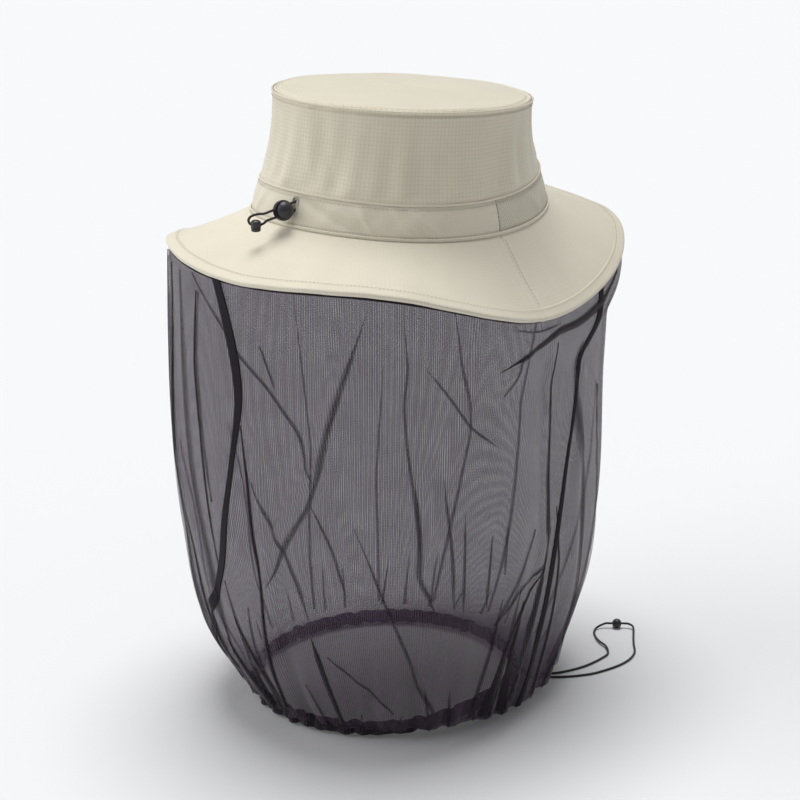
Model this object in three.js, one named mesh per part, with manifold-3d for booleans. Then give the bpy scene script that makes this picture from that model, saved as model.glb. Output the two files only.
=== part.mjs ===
// Sun hat with an insect veil: crown, band, brim, hanging net and two elastic cords with their locks.
// Millimetres, +Z up, the wearer faces -Y. The origin is the centre of the head opening.
import * as THREE from 'three';
import Module from 'manifold-3d';
import { mergeVertices } from 'three/addons/utils/BufferGeometryUtils.js';

const wasm = await Module();
wasm.setup();

// ---- Driving dimensions ----
const GAP = 0.3;

// Rings that shape the hat: half width (X), half length (Y), centre along Y, and height by angle
const CROWN_TOP = {
  halfX: 79.5,
  halfY: 88,
  centreY: -2,
  height: (angle) => 74.3 + 7 * Math.sin(angle),
};
const BAND_TOP = {
  halfX: 83.2,
  halfY: 97.8,
  centreY: 0,
  height: (angle) => 22.1 + 0.7 * Math.sin(angle) - 3.8 * Math.cos(2 * angle),
};
const BAND_BOTTOM = {
  halfX: 88,
  halfY: 105,
  centreY: 0,
  height: (angle) => 2.1 * Math.sin(angle) - 3.7 * Math.cos(2 * angle),
};

const FABRIC = 1.0;
const CROWN_SAG = 2.5;
const CROWN_DOME = 3.5;
const CHANNEL_DEPTH = 2.6;
const SWEATBAND = { depth: 4.2, thickness: 1.4, foot: 2, rise: 26 };
const PIPING_RADIUS = 1.3;
const BAND_FRONT_SPREAD = 0.5 * Math.PI;

const BRIM_LAYER = 0.9;
const BRIM_LAYER_GAP = 0.8;
const BRIM_STEPS = 52;
const STIFFENER = 1.2;
const BINDING_RADIUS = 1.9;
const BRIM_SEAM = Math.PI;
// The front of the brim hangs lower than its sides would have it
const BRIM_DROOP = { angle: 4.63, spread: 0.38, degrees: 10.5 };

const NET = 1.0;
const NET_TOP_INSET = 2.4;
const NET_SEAMS = [1.54, 3.8];
const SEAM_TAPE = { width: 8, thickness: 0.8, lift: 1 };
const TOP_TAPE = { width: 9, thickness: 1.2 };

const FLOOR = -340;
const BELLY = { centreX: 1.8, centreY: 1.8, radius: 107.5, height: -331 };
const HEM = { centreX: 2.4, centreY: 13.3, halfX: 88.2, halfY: 92.4, height: -333.5, tilt: 1 };
// Half sizes of the folded casing, its channel, and how far the cord and eyelet sit below its middle
const CASING = { half: 5, outer: 2.5, channel: 1.5, floor: 3.9, cordDrop: 2 };

const CORD_RADIUS = 0.8;
const BORE = CORD_RADIUS + GAP;
const CORD_SIDES = 8;

// Cord lock on the band: the hole runs along LOCK_PATH and the plunger moves along LOCK_AXIS
const LOCK_CENTRE = new THREE.Vector3(-6.2, 109.3, 16.8);
const LOCK_PATH = new THREE.Vector3(0.18, 0.96, -0.19).normalize();
const LOCK_AXIS = new THREE.Vector3(-0.94, 0.223, 0.236).normalize();
const LOCK_SIDE = new THREE.Vector3().crossVectors(LOCK_AXIS, LOCK_PATH).normalize();
const STRAND_OFFSET = 2.4;
const STRAND_START = -11;
const STRAND_STRAIGHT = 13.2;
const LOCK = { radius: 6.5, rim: 1.2, boreRadius: 4.9, boreFloor: -3.5, pocketRadius: 2.3, pocketFloor: -4.9 };
const PLUNGER = { radius: 4.6, back: -1.7, headRadius: 6.4, headBase: 3, travel: 1.5 };
const SPRING = { radius: 1.6, wire: 0.25, turns: 3 };

const EYELET_ANGLE = 1.66;
const EYELET_RISE = 0.598;
const EYELET = { halfLength: 5.9, halfWidth: 2.5, rim: 1.2, cover: 0.4, thickness: 1 };

// The free loop past the lock, from the lock's centre: along the brim, outward and up
const LOOP_ALONG = new THREE.Vector3(1, 1, 0).normalize();
const LOOP_OUT = new THREE.Vector3(-1, 1, 0).normalize();
const LOOP_UPPER = [
  [14.8, 7.9, -0.3],
  [17.6, 8.1, -0.9],
  [19.9, 8.1, -2.1],
  [21, 8.3, -3.9],
  [20.6, 8.6, -5.7],
  [19, 8.9, -6.9],
];
const LOOP_LOWER = [
  [13.8, 8.9, -6.9],
  [11.6, 8.3, -6],
];
const END_ALONG = 16.5;
const END_OUT = 8.9;
const END_UP = -7.3;
const CORD_END = { radius: 3.3, low: -3.7, split: -1.4, high: 3.7, hole: 0.3, holeRadius: 1.5 };

// Free loop of the hem cord, laid on the surface below the hem
const HEM_EYELET_ANGLE = 3.91;
const HEM_EYELET = { hole: 2.7, rim: 1.4, thickness: 1 };
const HEM_STRAND_OFFSET = 1.5;
const CORD_REST = FLOOR + CORD_RADIUS + 0.1;
const BALL = { radius: 3.5, centre: [-60, -165] };
const BALL_PATH = [-0.72, -0.69];
const HEM_LOOP_OUT = [
  [-68, -60.3, CORD_REST + 1.2],
  [-75, -70.6, CORD_REST],
  [-80.2, -78.5, CORD_REST],
  [-85.6, -95.4, CORD_REST],
  [-86.6, -107, CORD_REST],
  [-86.3, -117, CORD_REST],
  [-84.6, -125.5, CORD_REST],
  [-76.8, -132.6, CORD_REST + 0.8],
  [-68.6, -135.5, CORD_REST + 0.8],
  [-61, -140.2, CORD_REST],
  [-54.3, -146.1, CORD_REST],
  [-51.4, -152.5, CORD_REST + 0.6],
];
const HEM_LOOP_BACK = [
  [-66.3, -170.8, CORD_REST + 2.5],
  [-69.6, -171.2, CORD_REST + 1.8],
  [-73, -168.6, CORD_REST + 1],
  [-77.5, -163, CORD_REST + 0.4],
  [-87.2, -151.5, CORD_REST],
  [-97, -140.5, CORD_REST],
  [-101.6, -129, CORD_REST],
  [-102.4, -116.3, CORD_REST],
  [-100.9, -105.5, CORD_REST],
  [-97.8, -93.5, CORD_REST],
  [-93.9, -85.7, CORD_REST],
  [-87, -75.5, CORD_REST],
  [-78.6, -66.4, CORD_REST],
  [-71.5, -57.5, CORD_REST + 1.2],
];

// ---- Surfaces, each giving a point from an angle and a share of the way across ----
function ellipseNormal(halfX, halfY, angle) {
  return new THREE.Vector3(Math.cos(angle) * halfY, Math.sin(angle) * halfX, 0).normalize();
}

function ringPoint(ring, angle, outward = 0, up = 0) {
  const point = new THREE.Vector3(ring.halfX * Math.cos(angle), ring.centreY + ring.halfY * Math.sin(angle), 0);
  point.addScaledVector(ellipseNormal(ring.halfX, ring.halfY, angle), outward);
  point.z = ring.height(angle) + up;
  return point;
}

function bandSurface(angle, share) {
  return ringPoint(BAND_BOTTOM, angle).lerp(ringPoint(BAND_TOP, angle), share);
}

function crownSurface(angle, share) {
  const point = ringPoint(BAND_TOP, angle).lerp(ringPoint(CROWN_TOP, angle), share);
  const inward = ellipseNormal(CROWN_TOP.halfX, CROWN_TOP.halfY, angle);
  return point.addScaledVector(inward, -CROWN_SAG * Math.sin(Math.PI * share));
}

function tipSurface(angle, share) {
  const centre = new THREE.Vector3(0, CROWN_TOP.centreY, CROWN_TOP.height(0));
  const point = centre.lerp(ringPoint(CROWN_TOP, angle, -1.4, 0), share);
  point.z += CROWN_DOME * (1 - share * share);
  return point;
}

function brimWidth(angle) {
  return 59 - 1.5 * Math.sin(angle) + 1.5 * Math.cos(2 * angle);
}

function brimSlope(angle) {
  const degrees = 30.4 - 1.6 * Math.sin(angle) + 16.8 * Math.cos(2 * angle)
    - 8.6 * Math.sin(3 * angle) + 3.3 * Math.cos(4 * angle);
  const fromDroop = Math.atan2(Math.sin(angle - BRIM_DROOP.angle), Math.cos(angle - BRIM_DROOP.angle));
  const droop = BRIM_DROOP.degrees * Math.exp(-((fromDroop / BRIM_DROOP.spread) ** 2));
  return THREE.MathUtils.degToRad(degrees + droop);
}

function brimSurface(angle, share) {
  const slope = brimSlope(angle);
  const run = brimWidth(angle) * share;
  return ringPoint(BAND_BOTTOM, angle, run * Math.cos(slope), -run * Math.sin(slope));
}

function bellyPoint(angle) {
  return new THREE.Vector3(
    BELLY.centreX + BELLY.radius * Math.cos(angle),
    BELLY.centreY + BELLY.radius * Math.sin(angle),
    BELLY.height,
  );
}

function hemPoint(angle, outward = 0, up = 0) {
  const point = new THREE.Vector3(
    HEM.centreX + HEM.halfX * Math.cos(angle),
    HEM.centreY + HEM.halfY * Math.sin(angle),
    HEM.height - HEM.tilt * Math.cos(angle) + up,
  );
  return point.addScaledVector(ellipseNormal(HEM.halfX, HEM.halfY, angle), outward);
}

// The net drops from the brim edge, swells towards the belly, then turns in to the hem
function netSurface(angle, share) {
  const top = brimSurface(angle, 1);
  top.addScaledVector(ellipseNormal(BAND_BOTTOM.halfX, BAND_BOTTOM.halfY, angle), -NET_TOP_INSET);
  top.z -= BINDING_RADIUS + 1;
  const belly = bellyPoint(angle);
  const turn = 0.92;
  if (share <= turn) {
    const fall = share / turn;
    const point = belly.clone().lerp(top, 1 - Math.pow(fall, 2.6));
    point.z = THREE.MathUtils.lerp(top.z, belly.z, fall);
    return point;
  }
  const inner = hemPoint(angle, CASING.outer + 1, CASING.half - 1);
  return belly.lerp(inner, (share - turn) / (1 - turn));
}

// ---- Helpers that turn surfaces and paths into closed solids ----
function surfaceNormal(surface, angle, share) {
  const step = 0.002;
  const along = surface(angle + step, share).sub(surface(angle - step, share));
  const low = Math.max(share - step, 0);
  const high = Math.min(share + step, 1);
  const across = surface(angle, high).sub(surface(angle, low));
  return along.cross(across).normalize();
}

// Bends a geometry whose vertices hold (angle, share, depth) on to a surface; depth runs inward from it
function wrapVertices(geometry, surface, flip) {
  const positions = geometry.attributes.position;
  for (let i = 0; i < positions.count; i += 1) {
    const angle = positions.getX(i);
    const share = positions.getY(i);
    const point = surface(angle, share);
    const normal = surfaceNormal(surface, angle, share).multiplyScalar(flip);
    point.addScaledVector(normal, -positions.getZ(i));
    positions.setXYZ(i, point.x, point.y, point.z);
  }
  return closed(geometry);
}

function closed(geometry) {
  const bare = geometry.clone();
  bare.deleteAttribute('normal');
  bare.deleteAttribute('uv');
  const merged = mergeVertices(bare, 0.0005);
  merged.computeVertexNormals();
  return merged;
}

function reversed(geometry) {
  const index = geometry.index.array;
  for (let i = 0; i < index.length; i += 3) {
    [index[i], index[i + 1]] = [index[i + 1], index[i]];
  }
  geometry.computeVertexNormals();
  return geometry;
}

// A strip between two angles. upward surfaces run outward with share, upright ones run up with share
function strip(surface, { from, to, low = 0, high = 1, top = 0, thickness, along, across, flip = 1 }) {
  const box = new THREE.BoxGeometry(to - from, high - low, thickness, along, across, 1);
  box.translate((from + to) / 2, (low + high) / 2, top + thickness / 2);
  const solid = wrapVertices(box, surface, flip);
  return flip > 0 ? reversed(solid) : solid;
}

// A closed section of [across, up] points carried all the way round by place(angle, across, up)
function bentRing(outline, place, along) {
  const far = 100;
  const profile = [...outline, outline[0]].map(([across, up]) => new THREE.Vector2(far + across, up));
  const ring = closed(new THREE.LatheGeometry(profile, along));
  const positions = ring.attributes.position;
  for (let i = 0; i < positions.count; i += 1) {
    const [x, up, z] = [positions.getX(i), positions.getY(i), positions.getZ(i)];
    const point = place(Math.atan2(x, z), Math.hypot(x, z) - far, up);
    positions.setXYZ(i, point.x, point.y, point.z);
  }
  return outward(ring);
}

// The same strip all the way round
function hoop(surface, { low = 0, high = 1, top = 0, thickness, along, across, flip = 1 }) {
  const edge = (depth) => Array.from({ length: across + 1 }, (_, i) => [low + (high - low) * (i / across), depth]);
  const outline = [...edge(top), ...edge(top + thickness).reverse()];
  const place = (angle, share, depth) => surface(angle, share)
    .addScaledVector(surfaceNormal(surface, angle, share), -depth * flip);
  return bentRing(outline, place, along);
}

function signedVolume(geometry) {
  const positions = geometry.attributes.position;
  const index = geometry.index.array;
  const corner = [new THREE.Vector3(), new THREE.Vector3(), new THREE.Vector3()];
  let volume = 0;
  for (let i = 0; i < index.length; i += 3) {
    corner.forEach((vector, k) => vector.fromBufferAttribute(positions, index[i + k]));
    volume += corner[0].dot(corner[1].clone().cross(corner[2])) / 6;
  }
  return volume;
}

function outward(geometry) {
  if (signedVolume(geometry) < 0) {
    reversed(geometry);
  }
  geometry.computeVertexNormals();
  return geometry;
}

function section(radiusX, radiusY, sides) {
  const points = [];
  for (let i = 0; i < sides; i += 1) {
    const turn = (i / sides) * 2 * Math.PI;
    points.push(new THREE.Vector2(radiusX * Math.cos(turn), radiusY * Math.sin(turn)));
  }
  return new THREE.Shape(points);
}

function tube(points, radius, steps, sides = CORD_SIDES) {
  const path = new THREE.CatmullRomCurve3(points);
  const options = { steps, bevelEnabled: false, extrudePath: path };
  return outward(closed(new THREE.ExtrudeGeometry(section(radius, radius, sides), options)));
}

// A round cord all the way round the hat or the hem, as a bent torus
function ringTube(centreLine, radius, along, sides = CORD_SIDES) {
  const torus = closed(new THREE.TorusGeometry(10, 1, sides, along));
  const positions = torus.attributes.position;
  const up = new THREE.Vector3(0, 0, 1);
  for (let i = 0; i < positions.count; i += 1) {
    const [x, y, z] = [positions.getX(i), positions.getY(i), positions.getZ(i)];
    const angle = Math.atan2(y, x);
    const point = centreLine(angle);
    const tangent = centreLine(angle + 0.002).sub(centreLine(angle - 0.002)).normalize();
    const side = tangent.clone().cross(up).normalize();
    const over = side.clone().cross(tangent).normalize();
    point.addScaledVector(side, (Math.hypot(x, y) - 10) * radius);
    point.addScaledVector(over, z * radius);
    positions.setXYZ(i, point.x, point.y, point.z);
  }
  return outward(torus);
}

function toManifold(geometry) {
  const solid = closed(geometry);
  return new wasm.Manifold(new wasm.Mesh({
    numProp: 3,
    vertProperties: new Float32Array(solid.attributes.position.array),
    triVerts: new Uint32Array(solid.index.array),
  }));
}

function fromManifold(manifold) {
  const mesh = manifold.getMesh();
  const geometry = new THREE.BufferGeometry();
  geometry.setAttribute('position', new THREE.BufferAttribute(new Float32Array(mesh.vertProperties), 3));
  geometry.setIndex(new THREE.BufferAttribute(new Uint32Array(mesh.triVerts), 1));
  geometry.computeVertexNormals();
  return geometry;
}

function lathed(profile, sides) {
  const points = profile.map(([radius, along]) => new THREE.Vector2(radius, along));
  const geometry = new THREE.LatheGeometry(points, sides);
  return outward(closed(geometry.rotateX(Math.PI / 2)));
}

// A frame whose Z is the given axis and whose X is the given side
function placed(geometry, origin, axis, side) {
  const across = new THREE.Vector3().crossVectors(axis, side).normalize();
  const basis = new THREE.Matrix4().makeBasis(side, across, axis);
  return geometry.clone().applyMatrix4(basis.setPosition(origin));
}

function slotBar(halfWidth, halfHeight, length) {
  const shape = new THREE.Shape();
  const straight = halfWidth - halfHeight;
  shape.moveTo(-straight, -halfHeight);
  shape.lineTo(straight, -halfHeight);
  shape.absarc(straight, 0, halfHeight, -Math.PI / 2, Math.PI / 2, false);
  shape.lineTo(-straight, halfHeight);
  shape.absarc(-straight, 0, halfHeight, Math.PI / 2, 1.5 * Math.PI, false);
  const bar = new THREE.ExtrudeGeometry(shape, { depth: length, bevelEnabled: false, curveSegments: 6 });
  return bar.translate(0, 0, -length / 2);
}

// ---- Materials ----
function finish(colour, roughness, metalness = 0) {
  return new THREE.MeshStandardMaterial({ color: colour, roughness, metalness });
}

const MATERIALS = {
  shell: finish(0xd8d2bf, 0.85),
  vent: finish(0xc4bda6, 0.9),
  lining: finish(0xcfc9b6, 0.9),
  foam: finish(0xe8e6df, 0.95),
  tape: finish(0x1b191d, 0.9),
  net: finish(0x2b282f, 0.9),
  cord: finish(0x141316, 0.7),
  plastic: finish(0x1c1a1e, 0.45),
  steel: finish(0xb8b8b8, 0.3, 1),
};

const model = new THREE.Group();
const hatGroup = new THREE.Group();
const veilGroup = new THREE.Group();
model.add(hatGroup, veilGroup);

function add(group, name, geometry, material) {
  const mesh = new THREE.Mesh(geometry, MATERIALS[material]);
  mesh.name = name;
  group.add(mesh);
}

// ---- Crown ----
const SIDE_GAP = 0.004;

function addCrown() {
  add(hatGroup, 'crown_tip', tipPanel(), 'shell');
  const panel = { low: 0.045, high: 0.97, thickness: FABRIC, along: 26, across: 3 };
  const back = strip(crownSurface, { ...panel, from: SIDE_GAP, to: Math.PI - SIDE_GAP });
  const front = strip(crownSurface, { ...panel, from: Math.PI + SIDE_GAP, to: 2 * Math.PI - SIDE_GAP });
  add(hatGroup, 'crown_back_panel', back, 'shell');
  add(hatGroup, 'crown_front_panel', front, 'shell');
}

function tipPanel() {
  const rows = 2;
  const profile = [];
  for (let i = 0; i <= rows; i += 1) {
    profile.push(new THREE.Vector2(i / rows, 0));
  }
  for (let i = rows; i >= 0; i -= 1) {
    profile.push(new THREE.Vector2(i / rows, FABRIC));
  }
  const disc = closed(new THREE.LatheGeometry(profile, 48));
  const positions = disc.attributes.position;
  for (let i = 0; i < positions.count; i += 1) {
    const [x, depth, z] = [positions.getX(i), positions.getY(i), positions.getZ(i)];
    const point = tipSurface(Math.atan2(x, z), Math.hypot(x, z));
    positions.setXYZ(i, point.x, point.y, point.z - depth);
  }
  return outward(disc);
}

// ---- Band, its piping and the sweatband ----
function bandBackShell() {
  const shell = strip(bandSurface, {
    from: Math.PI / 2 - (Math.PI - BAND_FRONT_SPREAD) + SIDE_GAP,
    to: Math.PI / 2 + (Math.PI - BAND_FRONT_SPREAD) - SIDE_GAP,
    low: 0.08,
    high: 0.92,
    thickness: FABRIC,
    along: 34,
    across: 2,
  });
  const { point, normal, side } = eyeletFrame();
  const hole = slotBar(EYELET.halfLength - EYELET.cover, EYELET.halfWidth - EYELET.cover, 8);
  const cutter = toManifold(placed(hole, point, normal, side));
  return fromManifold(toManifold(shell).subtract(cutter));
}

function addBand() {
  add(hatGroup, 'band_back', bandBackShell(), 'shell');
  const front = strip(bandSurface, {
    from: 1.5 * Math.PI - BAND_FRONT_SPREAD + SIDE_GAP,
    to: 1.5 * Math.PI + BAND_FRONT_SPREAD - SIDE_GAP,
    low: 0.08,
    high: 0.92,
    thickness: FABRIC,
    along: 26,
    across: 2,
  });
  add(hatGroup, 'band_front', front, 'vent');
  const topEdge = (angle) => ringPoint(BAND_TOP, angle, -0.4, 0);
  const bottomEdge = (angle) => ringPoint(BAND_BOTTOM, angle, -0.4, 0);
  add(hatGroup, 'band_top_piping', ringTube(topEdge, PIPING_RADIUS, 48, 5), 'shell');
  add(hatGroup, 'band_bottom_piping', ringTube(bottomEdge, PIPING_RADIUS, 48, 5), 'shell');
  const inside = {
    low: SWEATBAND.foot / SWEATBAND.rise,
    high: 1,
    top: SWEATBAND.depth,
    thickness: SWEATBAND.thickness,
    along: 48,
    across: 1,
  };
  add(hatGroup, 'sweatband', hoop(bandSurface, inside), 'lining');
}

// ---- Brim ----
function addBrim() {
  const reach = { low: 0.055, high: 0.955 };
  const upper = { ...reach, thickness: BRIM_LAYER, along: BRIM_STEPS / 2, across: 3, flip: -1 };
  const backUpper = strip(brimSurface, { ...upper, from: SIDE_GAP, to: BRIM_SEAM - SIDE_GAP });
  const frontUpper = strip(brimSurface, { ...upper, from: BRIM_SEAM + SIDE_GAP, to: 2 * Math.PI - SIDE_GAP });
  add(hatGroup, 'brim_upper_back', backUpper, 'shell');
  add(hatGroup, 'brim_upper_front', frontUpper, 'shell');
  const layers = { along: BRIM_STEPS, across: 3, flip: -1 };
  const stiffenerTop = BRIM_LAYER + BRIM_LAYER_GAP;
  const stiffener = { ...layers, low: 0.09, high: 0.93, top: stiffenerTop, thickness: STIFFENER };
  add(hatGroup, 'brim_stiffener', hoop(brimSurface, stiffener), 'foam');
  const underTop = stiffenerTop + STIFFENER + BRIM_LAYER_GAP;
  const underlay = { ...layers, ...reach, top: underTop, thickness: BRIM_LAYER };
  add(hatGroup, 'brim_underlay', hoop(brimSurface, underlay), 'shell');
  const edge = (angle) => brimSurface(angle, 1).add(new THREE.Vector3(0, 0, -1.4));
  add(hatGroup, 'brim_edge_binding', ringTube(edge, BINDING_RADIUS, 60, 5), 'shell');
}

// ---- Elastic cord and lock on the band ----
function eyeletFrame() {
  const point = bandSurface(EYELET_ANGLE, EYELET_RISE);
  const normal = surfaceNormal(bandSurface, EYELET_ANGLE, EYELET_RISE);
  const tilt = LOCK_SIDE.dot(normal) / LOCK_PATH.dot(normal);
  const side = LOCK_SIDE.clone().addScaledVector(LOCK_PATH, -tilt).normalize();
  return { point, normal, side };
}

function loopPoint(along, outward, up) {
  return LOCK_CENTRE.clone()
    .addScaledVector(LOOP_ALONG, along)
    .addScaledVector(LOOP_OUT, outward)
    .add(new THREE.Vector3(0, 0, up));
}

function bandCordPoints() {
  const strand = (offset) => [STRAND_START, 0, 6, STRAND_STRAIGHT].map((reach) => LOCK_CENTRE.clone()
    .addScaledVector(LOCK_SIDE, offset)
    .addScaledVector(LOCK_PATH, reach));
  return [
    ...strand(-STRAND_OFFSET),
    ...LOOP_UPPER.map((place) => loopPoint(...place)),
    loopPoint(END_ALONG, END_OUT, END_UP + CORD_END.hole),
    ...LOOP_LOWER.map((place) => loopPoint(...place)),
    ...strand(STRAND_OFFSET).reverse(),
  ];
}

function bandEyelet() {
  const plate = slotBar(EYELET.halfLength, EYELET.halfWidth, EYELET.thickness);
  const hole = slotBar(EYELET.halfLength - EYELET.rim, EYELET.halfWidth - EYELET.rim, 4);
  const ring = fromManifold(toManifold(plate).subtract(toManifold(hole)));
  const { point, normal, side } = eyeletFrame();
  const seat = point.clone().addScaledVector(normal, GAP + EYELET.thickness / 2);
  return placed(ring, seat, normal, side);
}

// Points of a sphere's outline from one height to another, as (radius, height)
function ballProfile(radius, from, to, steps) {
  const profile = [];
  const start = Math.asin(from / radius);
  const end = Math.asin(to / radius);
  for (let i = 0; i <= steps; i += 1) {
    const turn = THREE.MathUtils.lerp(start, end, i / steps);
    profile.push([i === 0 && from === -radius ? 0 : radius * Math.cos(turn), radius * Math.sin(turn)]);
  }
  return profile;
}

function lockBarrel() {
  const profile = [
    ...ballProfile(LOCK.radius, -LOCK.radius, LOCK.rim, 9),
    [LOCK.boreRadius, LOCK.rim],
    [LOCK.boreRadius, LOCK.boreFloor],
    [LOCK.pocketRadius, LOCK.boreFloor],
    [LOCK.pocketRadius, LOCK.pocketFloor],
    [0, LOCK.pocketFloor],
  ];
  const hole = slotBar(STRAND_OFFSET + BORE, BORE, 20).rotateX(Math.PI / 2);
  return placed(fromManifold(toManifold(lathed(profile, 20)).subtract(toManifold(hole))),
    LOCK_CENTRE, LOCK_AXIS, LOCK_SIDE);
}

function lockPlunger() {
  const dome = ballProfile(PLUNGER.headRadius, -PLUNGER.headRadius, -PLUNGER.headBase, 6);
  const head = dome.reverse().map(([radius, height]) => [radius, -height]);
  const profile = [
    [0, PLUNGER.back],
    [PLUNGER.radius, PLUNGER.back],
    [PLUNGER.radius, PLUNGER.headBase],
    ...head,
  ];
  const low = slotBar(STRAND_OFFSET + BORE, BORE, 20).rotateX(Math.PI / 2);
  const high = low.clone().translate(0, 0, PLUNGER.travel);
  const between = new THREE.BoxGeometry(2 * STRAND_OFFSET, 20, PLUNGER.travel);
  between.translate(0, 0, PLUNGER.travel / 2);
  const wide = new THREE.BoxGeometry(2 * (STRAND_OFFSET + BORE), 20, PLUNGER.travel);
  wide.translate(0, 0, PLUNGER.travel / 2);
  const slot = [high, between, wide].reduce((sum, piece) => sum.add(toManifold(piece)), toManifold(low));
  return placed(fromManifold(toManifold(lathed(profile, 20)).subtract(slot)), LOCK_CENTRE, LOCK_AXIS, LOCK_SIDE);
}

function lockSpring() {
  const points = [];
  const start = LOCK.pocketFloor + GAP + SPRING.wire;
  const end = PLUNGER.back - GAP - SPRING.wire;
  const count = SPRING.turns * 8;
  for (let i = 0; i <= count; i += 1) {
    const turn = (i / 8) * 2 * Math.PI;
    points.push(new THREE.Vector3(
      SPRING.radius * Math.cos(turn),
      SPRING.radius * Math.sin(turn),
      THREE.MathUtils.lerp(start, end, i / count),
    ));
  }
  return placed(tube(points, SPRING.wire, count * 1.5, 5), LOCK_CENTRE, LOCK_AXIS, LOCK_SIDE);
}

function cordEnd(profile) {
  const centre = loopPoint(END_ALONG, END_OUT, END_UP);
  return lathed(profile, 20).translate(centre.x, centre.y, centre.z);
}

function cordEndCap() {
  const { radius, split, high, hole, holeRadius } = CORD_END;
  const dome = 2.2;
  const profile = [[0, split + GAP / 2], [radius, split + GAP / 2], [radius, high - dome]];
  for (let i = 1; i <= 4; i += 1) {
    const turn = (i / 4) * (Math.PI / 2);
    profile.push([radius * Math.cos(turn), high - dome + dome * Math.sin(turn)]);
  }
  const centre = loopPoint(END_ALONG, END_OUT, END_UP + hole);
  const bore = new THREE.CylinderGeometry(holeRadius, holeRadius, 20, 16);
  bore.rotateZ(Math.PI / 2).rotateZ(Math.PI / 4);
  bore.translate(centre.x, centre.y, centre.z);
  return fromManifold(toManifold(cordEnd(profile)).subtract(toManifold(bore)));
}

function cordEndPlug() {
  const { radius, low, split } = CORD_END;
  const chamfer = 0.7;
  return cordEnd([
    [0, low],
    [radius - chamfer - 0.3, low],
    [radius - 0.3, low + chamfer],
    [radius - 0.3, split - GAP / 2],
    [0, split - GAP / 2],
  ]);
}

function heldBandCord() {
  const steps = 60;
  const clear = 0.05;
  const points = [];
  for (let i = 0; i <= steps; i += 1) {
    const angle = EYELET_ANGLE + clear + (2 * Math.PI - 2 * clear) * (i / steps);
    const normal = surfaceNormal(bandSurface, angle, EYELET_RISE);
    points.push(bandSurface(angle, EYELET_RISE).addScaledVector(normal, -CHANNEL_DEPTH));
  }
  return tube(points, CORD_RADIUS, 60, 6);
}

function addBandCord() {
  add(hatGroup, 'band_drawcord', heldBandCord(), 'cord');
  add(hatGroup, 'band_eyelet', bandEyelet(), 'shell');
  add(hatGroup, 'band_cord_loop', tube(bandCordPoints(), CORD_RADIUS, 56), 'cord');
  add(hatGroup, 'cord_lock_barrel', lockBarrel(), 'plastic');
  add(hatGroup, 'cord_lock_plunger', lockPlunger(), 'plastic');
  add(hatGroup, 'cord_lock_spring', lockSpring(), 'steel');
  add(hatGroup, 'cord_end_cap', cordEndCap(), 'plastic');
  add(hatGroup, 'cord_end_plug', cordEndPlug(), 'plastic');
}

// ---- Veil ----
function tapeSurface(angle, share) {
  const reach = TOP_TAPE.width / brimWidth(angle);
  return brimSurface(angle, 0.96 - reach * (1 - share));
}

function seamTape(angle) {
  const half = SEAM_TAPE.width / 2 / 125;
  return strip(netSurface, {
    from: angle - half,
    to: angle + half,
    low: 0.02,
    high: 0.9,
    top: -SEAM_TAPE.lift - SEAM_TAPE.thickness,
    thickness: SEAM_TAPE.thickness,
    along: 1,
    across: 9,
    flip: -1,
  });
}

function addVeil() {
  const tapeTop = 2 * BRIM_LAYER + STIFFENER + 3 * BRIM_LAYER_GAP;
  const topTape = { top: tapeTop, thickness: TOP_TAPE.thickness, along: BRIM_STEPS, across: 1, flip: -1 };
  add(veilGroup, 'veil_top_tape', hoop(tapeSurface, topTape), 'tape');
  const [seamA, seamB] = NET_SEAMS;
  const panel = { low: 0.01, high: 1, thickness: NET, across: 9, flip: -1 };
  const seamGap = 0.003;
  const rear = strip(netSurface, { ...panel, from: seamA + seamGap, to: seamB - seamGap, along: 18 });
  const front = strip(netSurface, { ...panel, from: seamB + seamGap, to: seamA + 2 * Math.PI - seamGap, along: 30 });
  add(veilGroup, 'veil_net_rear', rear, 'net');
  add(veilGroup, 'veil_net_front', front, 'net');
  add(veilGroup, 'veil_seam_tape_back', seamTape(seamA), 'tape');
  add(veilGroup, 'veil_seam_tape_side', seamTape(seamB), 'tape');
}

// ---- Hem, its elastic cord, the free loop and the ball lock ----
function hemCasing() {
  const { half, outer, channel, floor } = CASING;
  const fold = [
    [-outer, half], [-outer, -half], [outer, -half], [outer, half],
    [channel, half], [channel, -floor], [-channel, -floor], [-channel, half],
  ];
  const casing = bentRing(fold, hemPoint, 48);
  const { point, normal, side } = hemEyeletFrame();
  const hole = placed(slotBar(HEM_EYELET.hole, BORE + 0.2, 3), point, normal, side);
  return fromManifold(toManifold(casing).subtract(toManifold(hole)));
}

function hemEyeletFrame() {
  const point = hemPoint(HEM_EYELET_ANGLE, CASING.outer, -CASING.cordDrop);
  const normal = ellipseNormal(HEM.halfX, HEM.halfY, HEM_EYELET_ANGLE);
  const side = new THREE.Vector3(-normal.y, normal.x, 0);
  return { point, normal, side };
}

function hemEyelet() {
  const plate = slotBar(HEM_EYELET.hole + HEM_EYELET.rim, BORE + HEM_EYELET.rim, HEM_EYELET.thickness);
  const hole = slotBar(HEM_EYELET.hole, BORE, 4);
  const ring = fromManifold(toManifold(plate).subtract(toManifold(hole)));
  const { point, normal, side } = hemEyeletFrame();
  return placed(ring, point.addScaledVector(normal, GAP + HEM_EYELET.thickness / 2), normal, side);
}

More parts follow.
